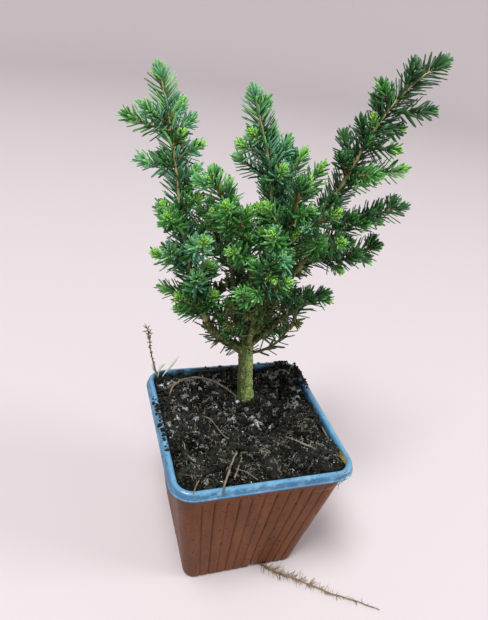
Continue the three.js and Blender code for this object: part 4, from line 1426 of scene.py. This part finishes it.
def start_masses():
    """The stem of every mass, just beyond its bough's tip or on the trunk."""
    for mass in masses.values():
        if "bough" in mass:
            bough = axes[mass["bough"]]
            base = curve_points(bough, 1)[0] + curve_tangents(bough, 1)[0] * limb_seam
            mass["leave"] = limbs[mass["bough"]]["arrive"]
        else:
            base = curve_points(axes["trunk"], mass["start"] / limbs["trunk"]["rise"])[0]
        axis = limb_axis(base, mass)
        mass["stem"] = axis
        mass["twigs"] = []
        mass["lines"] = straight_pieces(axis, mass["radius"], 16)


def shoot_axis(base, bearing, pitch, length):
    """The curve of a side shoot, which leaves flat and turns up a little toward its tip."""
    tip = base + direction(bearing, pitch) * length
    middle = (base + tip) / 2 - [0, 0, 0.06 * length]
    return [base, middle, tip]


def shoot_is_free(mass, axis):
    """True where a shoot keeps clear of the limbs, the peat and every other mass."""
    shares, _ = even_shares(axis, 5)
    points = curve_points(axis, shares)[1:]
    others = np.concatenate([other["lines"] for other in masses.values() if other is not mass])
    above = points[:, 2] > foot[2] + clear_of["soil"] + shoot_radius[0]
    off_limbs = clearance(points, limb_lines) > clear_of["limbs"] + shoot_radius[0]
    off_others = clearance(points, others) > clear_of["twigs"] - shoot_radius[0]
    return bool((above & off_limbs & off_others).all())


def add_shoot(mass, axis, telling, seen=None):
    """Sets a side shoot on a mass where there is room for it. seen is what shows of it."""
    if not shoot_is_free(mass, axis):
        return
    mass["twigs"].append(dict(axis=seen or axis, radius=shoot_radius, order=1, telling=telling))
    mass["lines"] = np.concatenate([mass["lines"], straight_pieces(axis, shoot_radius, 4)])


def leaning(tangent, turn, lean):
    """A direction that leans away from an axis, turned round it."""
    level = np.array([-tangent[1], tangent[0], 0])
    level /= np.linalg.norm(level)
    upright = np.cross(tangent, level)
    spoke = level * math.cos(turn) + upright * math.sin(turn)
    return spoke * math.sin(lean) + tangent * math.cos(lean)


def share_kept(name, mass, k, along):
    """How much shows of a mass's shoot number k, which the rule sets so far along its stem."""
    usual = 1
    if name in open_sprays or name in leaders and along > 0.5:
        usual = 0.55
    if name in old_wood or "start" in mass and along < 0.4:
        usual = 0.45
    return cut_short.get((name, k), usual)


def add_fill_shoots(name, mass):
    """The shoots that the rule sets between the telling ones."""
    random = seeded(mass["seed"])
    start_turn = next(random) * 2 * math.pi
    for k in range(mass["fill"]):
        along = (k + 0.3 + 0.4 * next(random)) / mass["fill"]
        share = fill_shoot["first"] + (fill_shoot["last"] - fill_shoot["first"]) * along
        turn = start_turn + k * math.radians(fill_shoot["turn"])
        lean = math.radians(fill_shoot["lean"] + 16 * (next(random) - 0.5))
        length = fill_shoot["length"] * (1.15 - 0.6 * along) * (0.8 + 0.4 * next(random))
        way = leaning(curve_tangents(mass["stem"], share)[0], turn, lean)
        bearing = math.degrees(math.atan2(way[1], way[0]))
        pitch = math.degrees(math.asin(way[2]))
        base = curve_points(mass["stem"], share)[0]
        seen = shoot_axis(base, bearing, pitch, length * share_kept(name, mass, k, along))
        add_shoot(mass, shoot_axis(base, bearing, pitch, length), False, seen)


def add_finer_twigs(name, mass, random):
    """Short twigs on the stem and on its longer shoots, kept inside the mass's reach."""
    carriers = [dict(axis=mass["stem"], order=0)] + list(mass["twigs"])
    for carrier in carriers:
        axis = carrier["axis"]
        _, length = even_shares(axis, 2)
        on_stem = carrier["order"] == 0
        finer = stem_twigs if on_stem else shoot_twigs
        count = int(length * finer["share"] / finer["spacing"])
        turn = random.uniform(0, 2 * math.pi)
        for k in range(count):
            share = 0.12 + 0.72 * (k + random.random()) / max(count, 1)
            turn += math.radians(137.5)
            way = leaning(curve_tangents(axis, share)[0], turn, math.radians(random.uniform(*finer_lean)))
            way[2] += 0.12
            way /= np.linalg.norm(way)
            twig_length = finer["longest"] * random.uniform(0.55, 1.0) * (1.1 - 0.5 * share)
            base = curve_points(axis, share)[0]
            fine = [base, base + way * twig_length * 0.5 - [0, 0, 0.2], base + way * twig_length]
            tip = np.array([fine[-1]])
            thinned = random.random() < (left_out_open if name in old_wood + open_sprays else left_out)
            at_limb = clearance(tip, limb_lines)[0] < finer_clear_of["limbs"]
            if thinned or at_limb or tip[0, 2] < foot[2] + finer_clear_of["soil"]:
                continue
            if on_stem or clearance(tip, mass["lines"])[0] >= finer_clear_of["shoots"]:
                mass["twigs"].append(dict(axis=fine, radius=(0.5, 0.36), order=2, telling=False))


start_masses()
for mass in masses.values():
    for share, bearing, pitch, length in mass.get("side", ()):
        add_shoot(mass, shoot_axis(curve_points(mass["stem"], share)[0], bearing, pitch, length), True)
for name, mass in masses.items():
    add_fill_shoots(name, mass)
for name, mass in masses.items():
    add_finer_twigs(name, mass, np.random.default_rng(mass["seed"]))

# The needles: stiff, flat and blunt, set all round every shoot and closest at its tip. They are
# dark on old wood, blue green on the young, and short and bright where a bud has just opened.
needle_length = 8.8
needle_width = 1.3
needle_thickness = 0.5
needle_spacing = 0.46
needle_spread = 54.0
tip_spread = 30.0
tip_zone = 9.0
needle_bend = 0.05
needle_twist = 0.3
peat_gap = 2.5
# Along one needle: share of its length, and of its full width there.
needle_outline = ((0.0, 0.55), (0.25, 1.0), (0.84, 0.92), (0.96, 0.6))
# Needles in the tuft on a tip, and how far down it reaches: where a bud has opened, and elsewhere.
fresh_tuft = (24, 4.2)
plain_tuft = (22, 3.6)
tones = ("old", "deep", "green", "blue", "pale", "fresh")
needle_lots = {name: [] for name in tones}
# Toward here the needles on a stem part, within this cosine of it, but for a few. From the
# leaders' height up no twig of the rule covers a leader's stem there either.
parting_way = direction(-108, 10)
parting_width = 0.58
parting_kept = 0.2
leader_height = 150.0


def needle_template():
    """One needle along +X: flat and blunt, with a low ridge above and below."""
    points = []
    for share, width in needle_outline:
        for across, up in ((0.5, 0), (0, 0.5), (-0.5, 0), (0, -0.5)):
            points.append([share, across * width, up * (0.55 + 0.45 * width)])
    points.append([1.0, 0.0, 0.0])
    tip = len(points) - 1
    last = tip - 4
    triangles = [[last + k, last + (k + 1) % 4, tip] for k in range(4)]
    quads = np.concatenate([ring_quads(4, len(needle_outline)), [[3, 2, 1, 0]]])
    return np.array(points), quads, np.array(triangles)


def spokes_round(tangents, turns):
    """Directions square to a twig, turned round it."""
    level = np.column_stack([-tangents[:, 1], tangents[:, 0], np.zeros(len(tangents))])
    level /= np.maximum(np.linalg.norm(level, axis=1), 1e-6)[:, None]
    upright = np.cross(tangents, level)
    return level * np.cos(turns)[:, None] + upright * np.sin(turns)[:, None]


def set_needles(points, tangents, turns, spread, radii, lengths, lots, random, crowded=True, parted=False):
    """Sets needles round a twig, each leaning away from it at its spread, flat face to the tip."""
    spokes = spokes_round(tangents, turns)
    ways = spokes * np.sin(spread)[:, None] + tangents * np.cos(spread)[:, None]
    ways[:, 2] += 0.07
    ways /= np.linalg.norm(ways, axis=1)[:, None]
    side = np.cross(tangents, spokes)
    flat = np.cross(ways, side)
    twist = random.normal(0, needle_twist, len(points))
    flat = flat * np.cos(twist)[:, None] + side * np.sin(twist)[:, None]
    flat -= ways * (flat * ways).sum(1)[:, None]
    flat /= np.linalg.norm(flat, axis=1)[:, None]
    if parted:
        toward_parting = (spokes * parting_way).sum(1) > parting_width
        kept = ~toward_parting | (random.random(len(points)) < parting_kept)
        lots = np.where(kept, lots, -1)
    bases = points + spokes * (radii * 0.7)[:, None]
    free = bases[:, 2] + np.minimum(ways[:, 2], 0) * lengths > foot[2] + peat_gap
    for share in (0.45, 0.75, 1.0):
        reach = bases + ways * (lengths * share)[:, None]
        free &= reach[:, 2] > foot[2] + peat_gap
        if crowded:
            free &= clearance(reach, limb_lines) > 0.35
    widths = needle_width * random.uniform(0.85, 1.1, len(points)) * np.clip(lengths / 6, 0.72, 1)
    everything = np.column_stack([bases, ways, flat, lengths, widths])
    for name in tones:
        needle_lots[name].append(everything[free & (lots == tones.index(name))])


def lots_along(even, random, spray):
    """The tone of each needle on a twig: dark near its foot, its spray's own tone, paler at the end."""
    lots = np.full(len(even), tones.index(spray))
    draw = random.random(len(even))
    darker = "old" if spray == "old" else "deep"
    lots[draw < 0.14] = tones.index(darker)
    lots[(draw > 0.86) & (spray in ("green", "blue"))] = tones.index("green")
    lots[(even < 0.25) & (draw < 0.5)] = tones.index(darker)
    lots[(even > 0.7) & (draw > 0.5) & (spray not in ("old", "deep"))] = tones.index("pale")
    return lots


def clothe(axis, radius, first, random, spray, tuft, scale, order, sparse=1.0):
    """Needles all round one twig, from a share of it to its tip, and a tuft on its tip."""
    fine, length = even_shares(axis, 60)
    count = max(int(length * (1 - first) / (needle_spacing * sparse)), 4)
    even = first + (1 - first) * (np.arange(count) + 0.5 * random.random(count)) / count
    shares = np.interp(even, np.linspace(0, 1, 61), fine)
    near_tip = eased(1 - (1 - even) * length / tip_zone)
    turns = random.uniform(0, 6.28) + np.arange(count) * math.radians(137.5) + random.normal(0, 0.12, count)
    spread = needle_spread + (tip_spread - needle_spread) * near_tip + random.normal(0, 4, count)
    shorter = 0.5 if tuft == "fresh" or order == 0 else 0.3
    lengths = needle_length * scale * random.uniform(0.88, 1.06, count) * (1 - shorter * near_tip)
    radii = radius[1] + (radius[0] - radius[1]) * (1 - even)
    lots = lots_along(even, random, spray)
    points, tangents = curve_points(axis, shares), curve_tangents(axis, shares)
    spread = np.radians(spread)
    set_needles(points, tangents, turns, spread, radii, lengths, lots, random, parted=order == 0)
    set_tuft(axis, radius, random, spray, tuft, scale)


def set_tuft(axis, radius, random, spray, tuft, scale):
    """The close needles round a tip: a short bright brush where a bud has opened."""
    fresh = tuft == "fresh"
    count, depth = fresh_tuft if fresh else plain_tuft
    back = np.linspace(0, 1, count)
    tangents = np.repeat(curve_tangents(axis, 1), count, 0)
    points = np.repeat(curve_points(axis, 1), count, 0) - tangents * (back * depth)[:, None]
    turns = np.arange(count) * math.radians(137.5) + random.normal(0, 0.15, count)
    if fresh:
        spread = 10 + 52 * back + random.normal(0, 4, count)
        lengths = (2.9 + 1.6 * back) * random.uniform(0.9, 1.12, count) * (0.8 + 0.2 * scale)
        lots = np.where(back + 0.3 * random.random(count) < 0.85, tones.index("fresh"), tones.index("pale"))
    else:
        spread = 8 + 52 * back + random.normal(0, 4, count)
        lengths = needle_length * scale * (0.5 + 0.12 * back) * random.uniform(0.92, 1.08, count)
        lighter = {"old": "old", "deep": "green"}.get(spray, "pale")
        lots = np.where(random.random(count) < 0.5, tones.index(lighter), tones.index(spray))
    radii = np.full(count, radius[1] * 0.8)
    set_needles(points, tangents, turns, np.radians(spread), radii, lengths, lots, random)


# How often a spray is old, deep, green or blue in each part of the crown. The darker tones
# inside, at the back and low down are partly older needles and partly painted shade; on the
# right they are painted shade.
spray_weights = {
    "old wood": (0.64, 0.36, 0.0, 0.0),
    "back": (0.28, 0.5, 0.22, 0.0),
    "low": (0.3, 0.42, 0.28, 0.0),
    "inside": (0.05, 0.42, 0.34, 0.19),
    "leader": (0.0, 0.12, 0.26, 0.62),
    "right": (0.0, 0.66, 0.3, 0.04),
    "outside": (0.0, 0.12, 0.54, 0.34),
}
# How often a side shoot ends in a fresh tuft there, against the outside of the crown.
fresh_share = {"old wood": 0.0, "back": 0.5, "low": 0.4, "inside": 0.9, "right": 0.6, "leader": 0.8}
# How far apart its needles stand, against those of a leader.
thinning = {"old wood": 2.7, "back": 1.2, "low": 1.3, "right": 1.05}
# Up to where a spray counts as low, and how near the trunk it counts as inside.
low_height = 122.0
low_heights = {"centre_front_mass": 158.0, "low_front_right_mass": 158.0}
inside_reach = 18


def spray_place(name, middle):
    """Which part of the crown a spray belongs to."""
    inside = math.hypot(middle[0] - foot[0] + 3, middle[1] - foot[1]) < inside_reach
    if name in old_wood:
        return "old wood"
    if name.startswith(("back", "low_back")):
        return "back"
    if middle[2] < low_heights.get(name, low_height):
        return "low"
    if name.startswith("right"):
        return "right"
    if name in leaders and middle[2] > leader_height:
        return "leader"
    return "inside" if inside and middle[2] < leader_height else "outside"


# The shoots' wood and buds: grey on old shoots, tan or orange brown on young ones, rough
# with the pegs that needles sit on. A small pointed bud stands in the middle of a tuft.
wood_lots = {"grey": Bundle(), "tan": Bundle(), "orange": Bundle()}
stem_wood = {
    "left_mass": "tan", "middle_mass": "tan", "right_mass": "tan",
    "mid_left_mass": "orange", "front_mass": "orange",
}
stem_sprays = {"left_mass": "blue", "middle_mass": "blue", "mid_left_mass": "green"}
stem_radius_share = 0.8
# How far from its foot a mass's stem is bare, where it starts on the trunk.
bare_foot = 0.38
bare_feet = {"low_right_mass": 0.12}
shoot_radii = {1: (0.62, 0.4), 2: (0.42, 0.32)}
shoot_scales = {1: 0.9, 2: 0.76}
buds = Bundle()


def twig_wood(axis, radius, kind, sides):
    """The wood of one twig, with small pegs where its needles sit."""
    _, length = even_shares(axis, 2)
    steps = max(int(length / 0.8), 5)
    shares, _ = even_shares(axis, steps)
    radii = radius[1] + (radius[0] - radius[1]) * np.linspace(1, 0, steps + 1) ** 2
    pegs = lambda place, thick: 0.28 * thick * smooth_noise(place, 0.9, 91)
    wood_lots[kind].add(*curve_tube(axis, shares, radii, sides, pegs))


def add_bud(axis, radius, random):
    """A small pointed bud at a twig's tip, in the middle of its tuft."""
    tip = curve_points(axis, 1)[0]
    way = curve_tangents(axis, 1)[0]
    along = np.array([-0.6, 0.2, 0.9, 1.5, 2.0])
    thick = np.array([0.5, 0.95, 0.9, 0.55, 0.1]) * radius * random.uniform(1.2, 1.6)
    buds.add(*tube(tip + way * along[:, None], np.repeat(way[None], 5, 0), thick, 7))


def covers_leader(name, twig):
    """True for a twig of the rule that would stand before the open front of a leader's stem."""
    way = curve_tangents(twig["axis"], 0.5)[0]
    on_leader = name in leaders and twig["axis"][0][2] > leader_height
    return on_leader and not twig["telling"] and way @ parting_way > 0.4


def dress_stem(name, mass, random):
    """Wood, needles and a bud on a mass's own stem."""
    aged = name in old_wood
    radius = (mass["radius"][0] * stem_radius_share, 0.5)
    twig_wood(mass["stem"], radius, stem_wood.get(name, "grey"), 12)
    bare = 0.02 if "bough" in mass else bare_feet.get(name, bare_foot)
    tuft, scale, sparse = ("old", 0.75, 2.2) if aged else ("green", 1.0, 0.8)
    if name in leaders:
        sparse = 0.5
    clothe(mass["stem"], radius, bare, random, stem_sprays.get(name, "deep"), tuft, scale, 0, sparse)
    add_bud(mass["stem"], 0.6, random)


def dress_twig(name, twig, random):
    """Wood, needles and now and then a bud on one shoot, in the tones of its part of the crown."""
    order = twig["order"]
    where = spray_place(name, curve_points(twig["axis"], 0.6)[0])
    spray = tones[random.choice(4, p=spray_weights[where])]
    bright = 0.85 if twig["telling"] else {1: 0.42, 2: 0.22}[order]
    bright *= fresh_share.get(where, 1)
    tuft = "fresh" if random.random() < bright else spray
    kind = ("grey", "tan", "orange")[random.choice(3, p=(0.35, 0.2, 0.45))]
    twig_wood(twig["axis"], shoot_radii[order], kind, 7)
    scale = shoot_scales[order]
    if where == "old wood":
        scale *= 0.85
    sparse = thinning.get(where, 1)
    clothe(twig["axis"], shoot_radii[order], 0.06, random, spray, tuft, scale, order, sparse)
    if random.random() < 0.4:
        add_bud(twig["axis"], 0.45, random)


def dress_masses():
    """Every mass, its stem first and then one shoot after another."""
    for name, mass in masses.items():
        random = np.random.default_rng(mass["seed"] + 500)
        dress_stem(name, mass, random)
        for twig in mass["twigs"]:
            if not covers_leader(name, twig):
                dress_twig(name, twig, random)


# Old needles on bare wood: how far from its foot each limb is bare, and how densely they stand.
bough_needles = {"trunk": (0.5, 0.27), "left_bough": (0.05, 0.36)}
usual_bough_needles = (0.35, 0.36)


def dress_boughs():
    """Short old needles left on the boughs, and round the trunk below its fork."""
    random = np.random.default_rng(601)
    for name, limb in limbs.items():
        first, spacing = bough_needles.get(name, usual_bough_needles)
        axis = axes[name]
        _, length = even_shares(axis, 2)
        count = int(length * (1 - first) / spacing)
        even = first + (1 - first) * random.random(count) ** (0.6 if name == "trunk" else 1)
        radii = (limb["radius"][0] + (limb["radius"][1] - limb["radius"][0]) * even) / 0.7
        turns = random.uniform(0, 2 * math.pi, count)
        spread = np.radians(random.normal(66, 11, count))
        lengths = needle_length * random.uniform(0.4, 0.74, count)
        lots = random.choice([0, 1, 2], count, p=(0.52, 0.38, 0.1))
        points, tangents = curve_points(axis, even), curve_tangents(axis, even)
        set_needles(points, tangents, turns, spread, radii, lengths, lots, random, crowded=False)


def joined_needles(lot):
    """Every needle of one tone as a single mesh's points and faces."""
    template, quads, triangles = needle_template()
    base, way, flat = lot[:, 0:3], lot[:, 3:6], lot[:, 6:9]
    length, width = lot[:, 9], lot[:, 10]
    side = np.cross(flat, way)
    along = template[:, 0]
    bend = needle_bend * length[:, None] * along[None] ** 2
    points = (
        base[:, None]
        + way[:, None] * (length[:, None] * along[None])[..., None]
        + side[:, None] * (width[:, None] * template[None, :, 1])[..., None]
        + flat[:, None] * (needle_thickness * template[None, :, 2] + bend)[..., None]
    )
    offsets = np.arange(len(lot))[:, None, None] * len(template)
    quads = (quads[None] + offsets).reshape(-1, 4)
    triangles = (triangles[None] + offsets).reshape(-1, 3)
    return points.reshape(-1, 3), quads, triangles


def needle_material(name, colour, other_colour, roughness):
    """A waxy needle: one green, a little bluer or yellower from place to place."""
    material, shader = new_material(name, roughness, 0.45)
    clouds = place_effect(material, mottle, Scale=170.0, Low=0.35, High=0.65)
    base = mixed_colour(material, clouds, colour, other_colour)
    return coloured(material, shader, base)


dress_masses()
dress_boughs()
needle_colours = {
    "old": (tone(80, 94, 46), tone(102, 112, 58), 0.6),
    "deep": (tone(38, 80, 42), tone(54, 100, 56), 0.42),
    "green": (tone(66, 136, 58), tone(84, 152, 74), 0.38),
    "blue": (tone(94, 160, 118), tone(118, 180, 144), 0.36),
    "pale": (tone(120, 186, 100), tone(140, 200, 122), 0.4),
    "fresh": (tone(140, 204, 76), tone(162, 216, 98), 0.42),
}
largest_piece = 190000
for name in tones:
    lot = np.concatenate(needle_lots[name])
    per_needle = 2 * 4 * (len(needle_outline) - 1) + 6
    parts = math.ceil(len(lot) * per_needle / largest_piece)
    material = needle_material("needle_" + name, *needle_colours[name])
    for k in range(parts):
        piece_name = f"needles_{name}_{k + 1}"
        mesh = made_mesh(piece_name, *joined_needles(lot[k::parts]))
        replaced = list(masses) if piece_name == "needles_deep_1" else ()
        add_piece(piece_name, mesh, [material], replaced)
    print("needles", name, len(lot), "pieces", parts)

wood_colours = {
    "grey": (tone(84, 76, 56), tone(112, 102, 76)),
    "tan": (tone(166, 156, 104), tone(200, 188, 136)),
    "orange": (tone(128, 88, 46), tone(160, 114, 64)),
}
for kind, (dark, light) in wood_colours.items():
    material = fibre_material("shoot_" + kind, dark, light)
    add_piece("shoots_" + kind, wood_lots[kind].mesh("shoots_" + kind), [material])
bud_scale = fibre_material("bud_scale", tone(160, 96, 42), tone(194, 128, 66))
add_piece("buds", buds.mesh("buds"), [bud_scale])

# The studio: a plain pale floor that turns up into a wall all round, one large soft light
# from the upper left, a weaker one from the right, and even light from the room.
floor_flat = 1.6
floor_bend = 0.8
floor_wall = 1.8
floor_columns = 96


def studio_floor():
    """A round floor whose edge curves up into a wall."""
    profile = [(share * floor_flat, 0.0) for share in (0.02, 0.3, 0.6, 0.9)]
    for angle in np.linspace(0, math.pi / 2, 12):
        profile.append((floor_flat + floor_bend * math.sin(angle), floor_bend * (1 - math.cos(angle))))
    profile.append((floor_flat + floor_bend, floor_wall))
    angles = np.arange(floor_columns) * 2 * math.pi / floor_columns
    rows = [level_ring(angles, reach, z) for reach, z in profile]
    points = np.concatenate([*rows, [[0, 0, 0]]]) / mm
    fan = closing_fan(np.arange(floor_columns), len(points) - 1, True)
    return made_mesh("studio_floor", points, ring_quads(floor_columns, len(rows))[:, ::-1], fan)


def studio_light(name, place, size, watts):
    """A square soft light that faces the plant."""
    lamp = bpy.data.lights.new(name, "AREA")
    lamp.shape = "SQUARE"
    lamp.size = size
    lamp.energy = watts
    light = bpy.data.objects.new(name, lamp)
    bpy.context.scene.collection.objects.link(light)
    light.location = place
    light.rotation_mode = "QUATERNION"
    light.rotation_quaternion = (Vector((0, 0, 0.14)) - Vector(place)).to_track_quat("-Z", "Y")


floor = bpy.data.objects.new("studio_floor", studio_floor())
bpy.context.scene.collection.objects.link(floor)
floor_paint, floor_shader = new_material("floor_paint", 0.85, 0.2)
floor_shader.inputs["Base Color"].default_value = tone(202, 194, 196)
floor.data.materials.append(floor_paint)
studio_light("key_light", (-0.6, -0.45, 2.2), 0.8, 56)
studio_light("side_light", (1.9, -0.8, 0.8), 0.8, 28)
world = bpy.data.worlds.new("room_light")
bpy.context.scene.world = world
world.use_nodes = True
world.node_tree.nodes["Background"].inputs["Color"].default_value = (0.93, 0.96, 1.0, 1.0)
world.node_tree.nodes["Background"].inputs["Strength"].default_value = 0.33
bpy.context.scene.view_settings.view_transform = "Standard"

# The camera stands where the photograph was taken: above the pot's front left,
# looking down, and turned a little about its own line of sight.
camera_place = Vector((-83.27, -194.98, 269.96)) * mm
camera_azimuth = math.radians(-20.785)
camera_elevation = math.radians(30.62)
camera_roll = math.radians(8.842)
focal_pixels = 544.63
image_height = 620
back = Vector((
    math.sin(camera_azimuth) * math.cos(camera_elevation),
    -math.cos(camera_azimuth) * math.cos(camera_elevation),
    math.sin(camera_elevation),
))
level_right = (-back).cross(Vector((0, 0, 1))).normalized()
level_up = level_right.cross(-back)
right = level_right * math.cos(camera_roll) + level_up * math.sin(camera_roll)
up = level_up * math.cos(camera_roll) - level_right * math.sin(camera_roll)
lens = bpy.data.cameras.new("photo_camera")
lens.sensor_width = 36
lens.lens = lens.sensor_width * focal_pixels / image_height
lens.clip_start = 0.01
camera = bpy.data.objects.new("photo_camera", lens)
bpy.context.scene.collection.objects.link(camera)
turned = Matrix((right, up, back)).transposed()
camera.matrix_world = Matrix.Translation(camera_place) @ turned.to_4x4()
bpy.context.scene.camera = camera
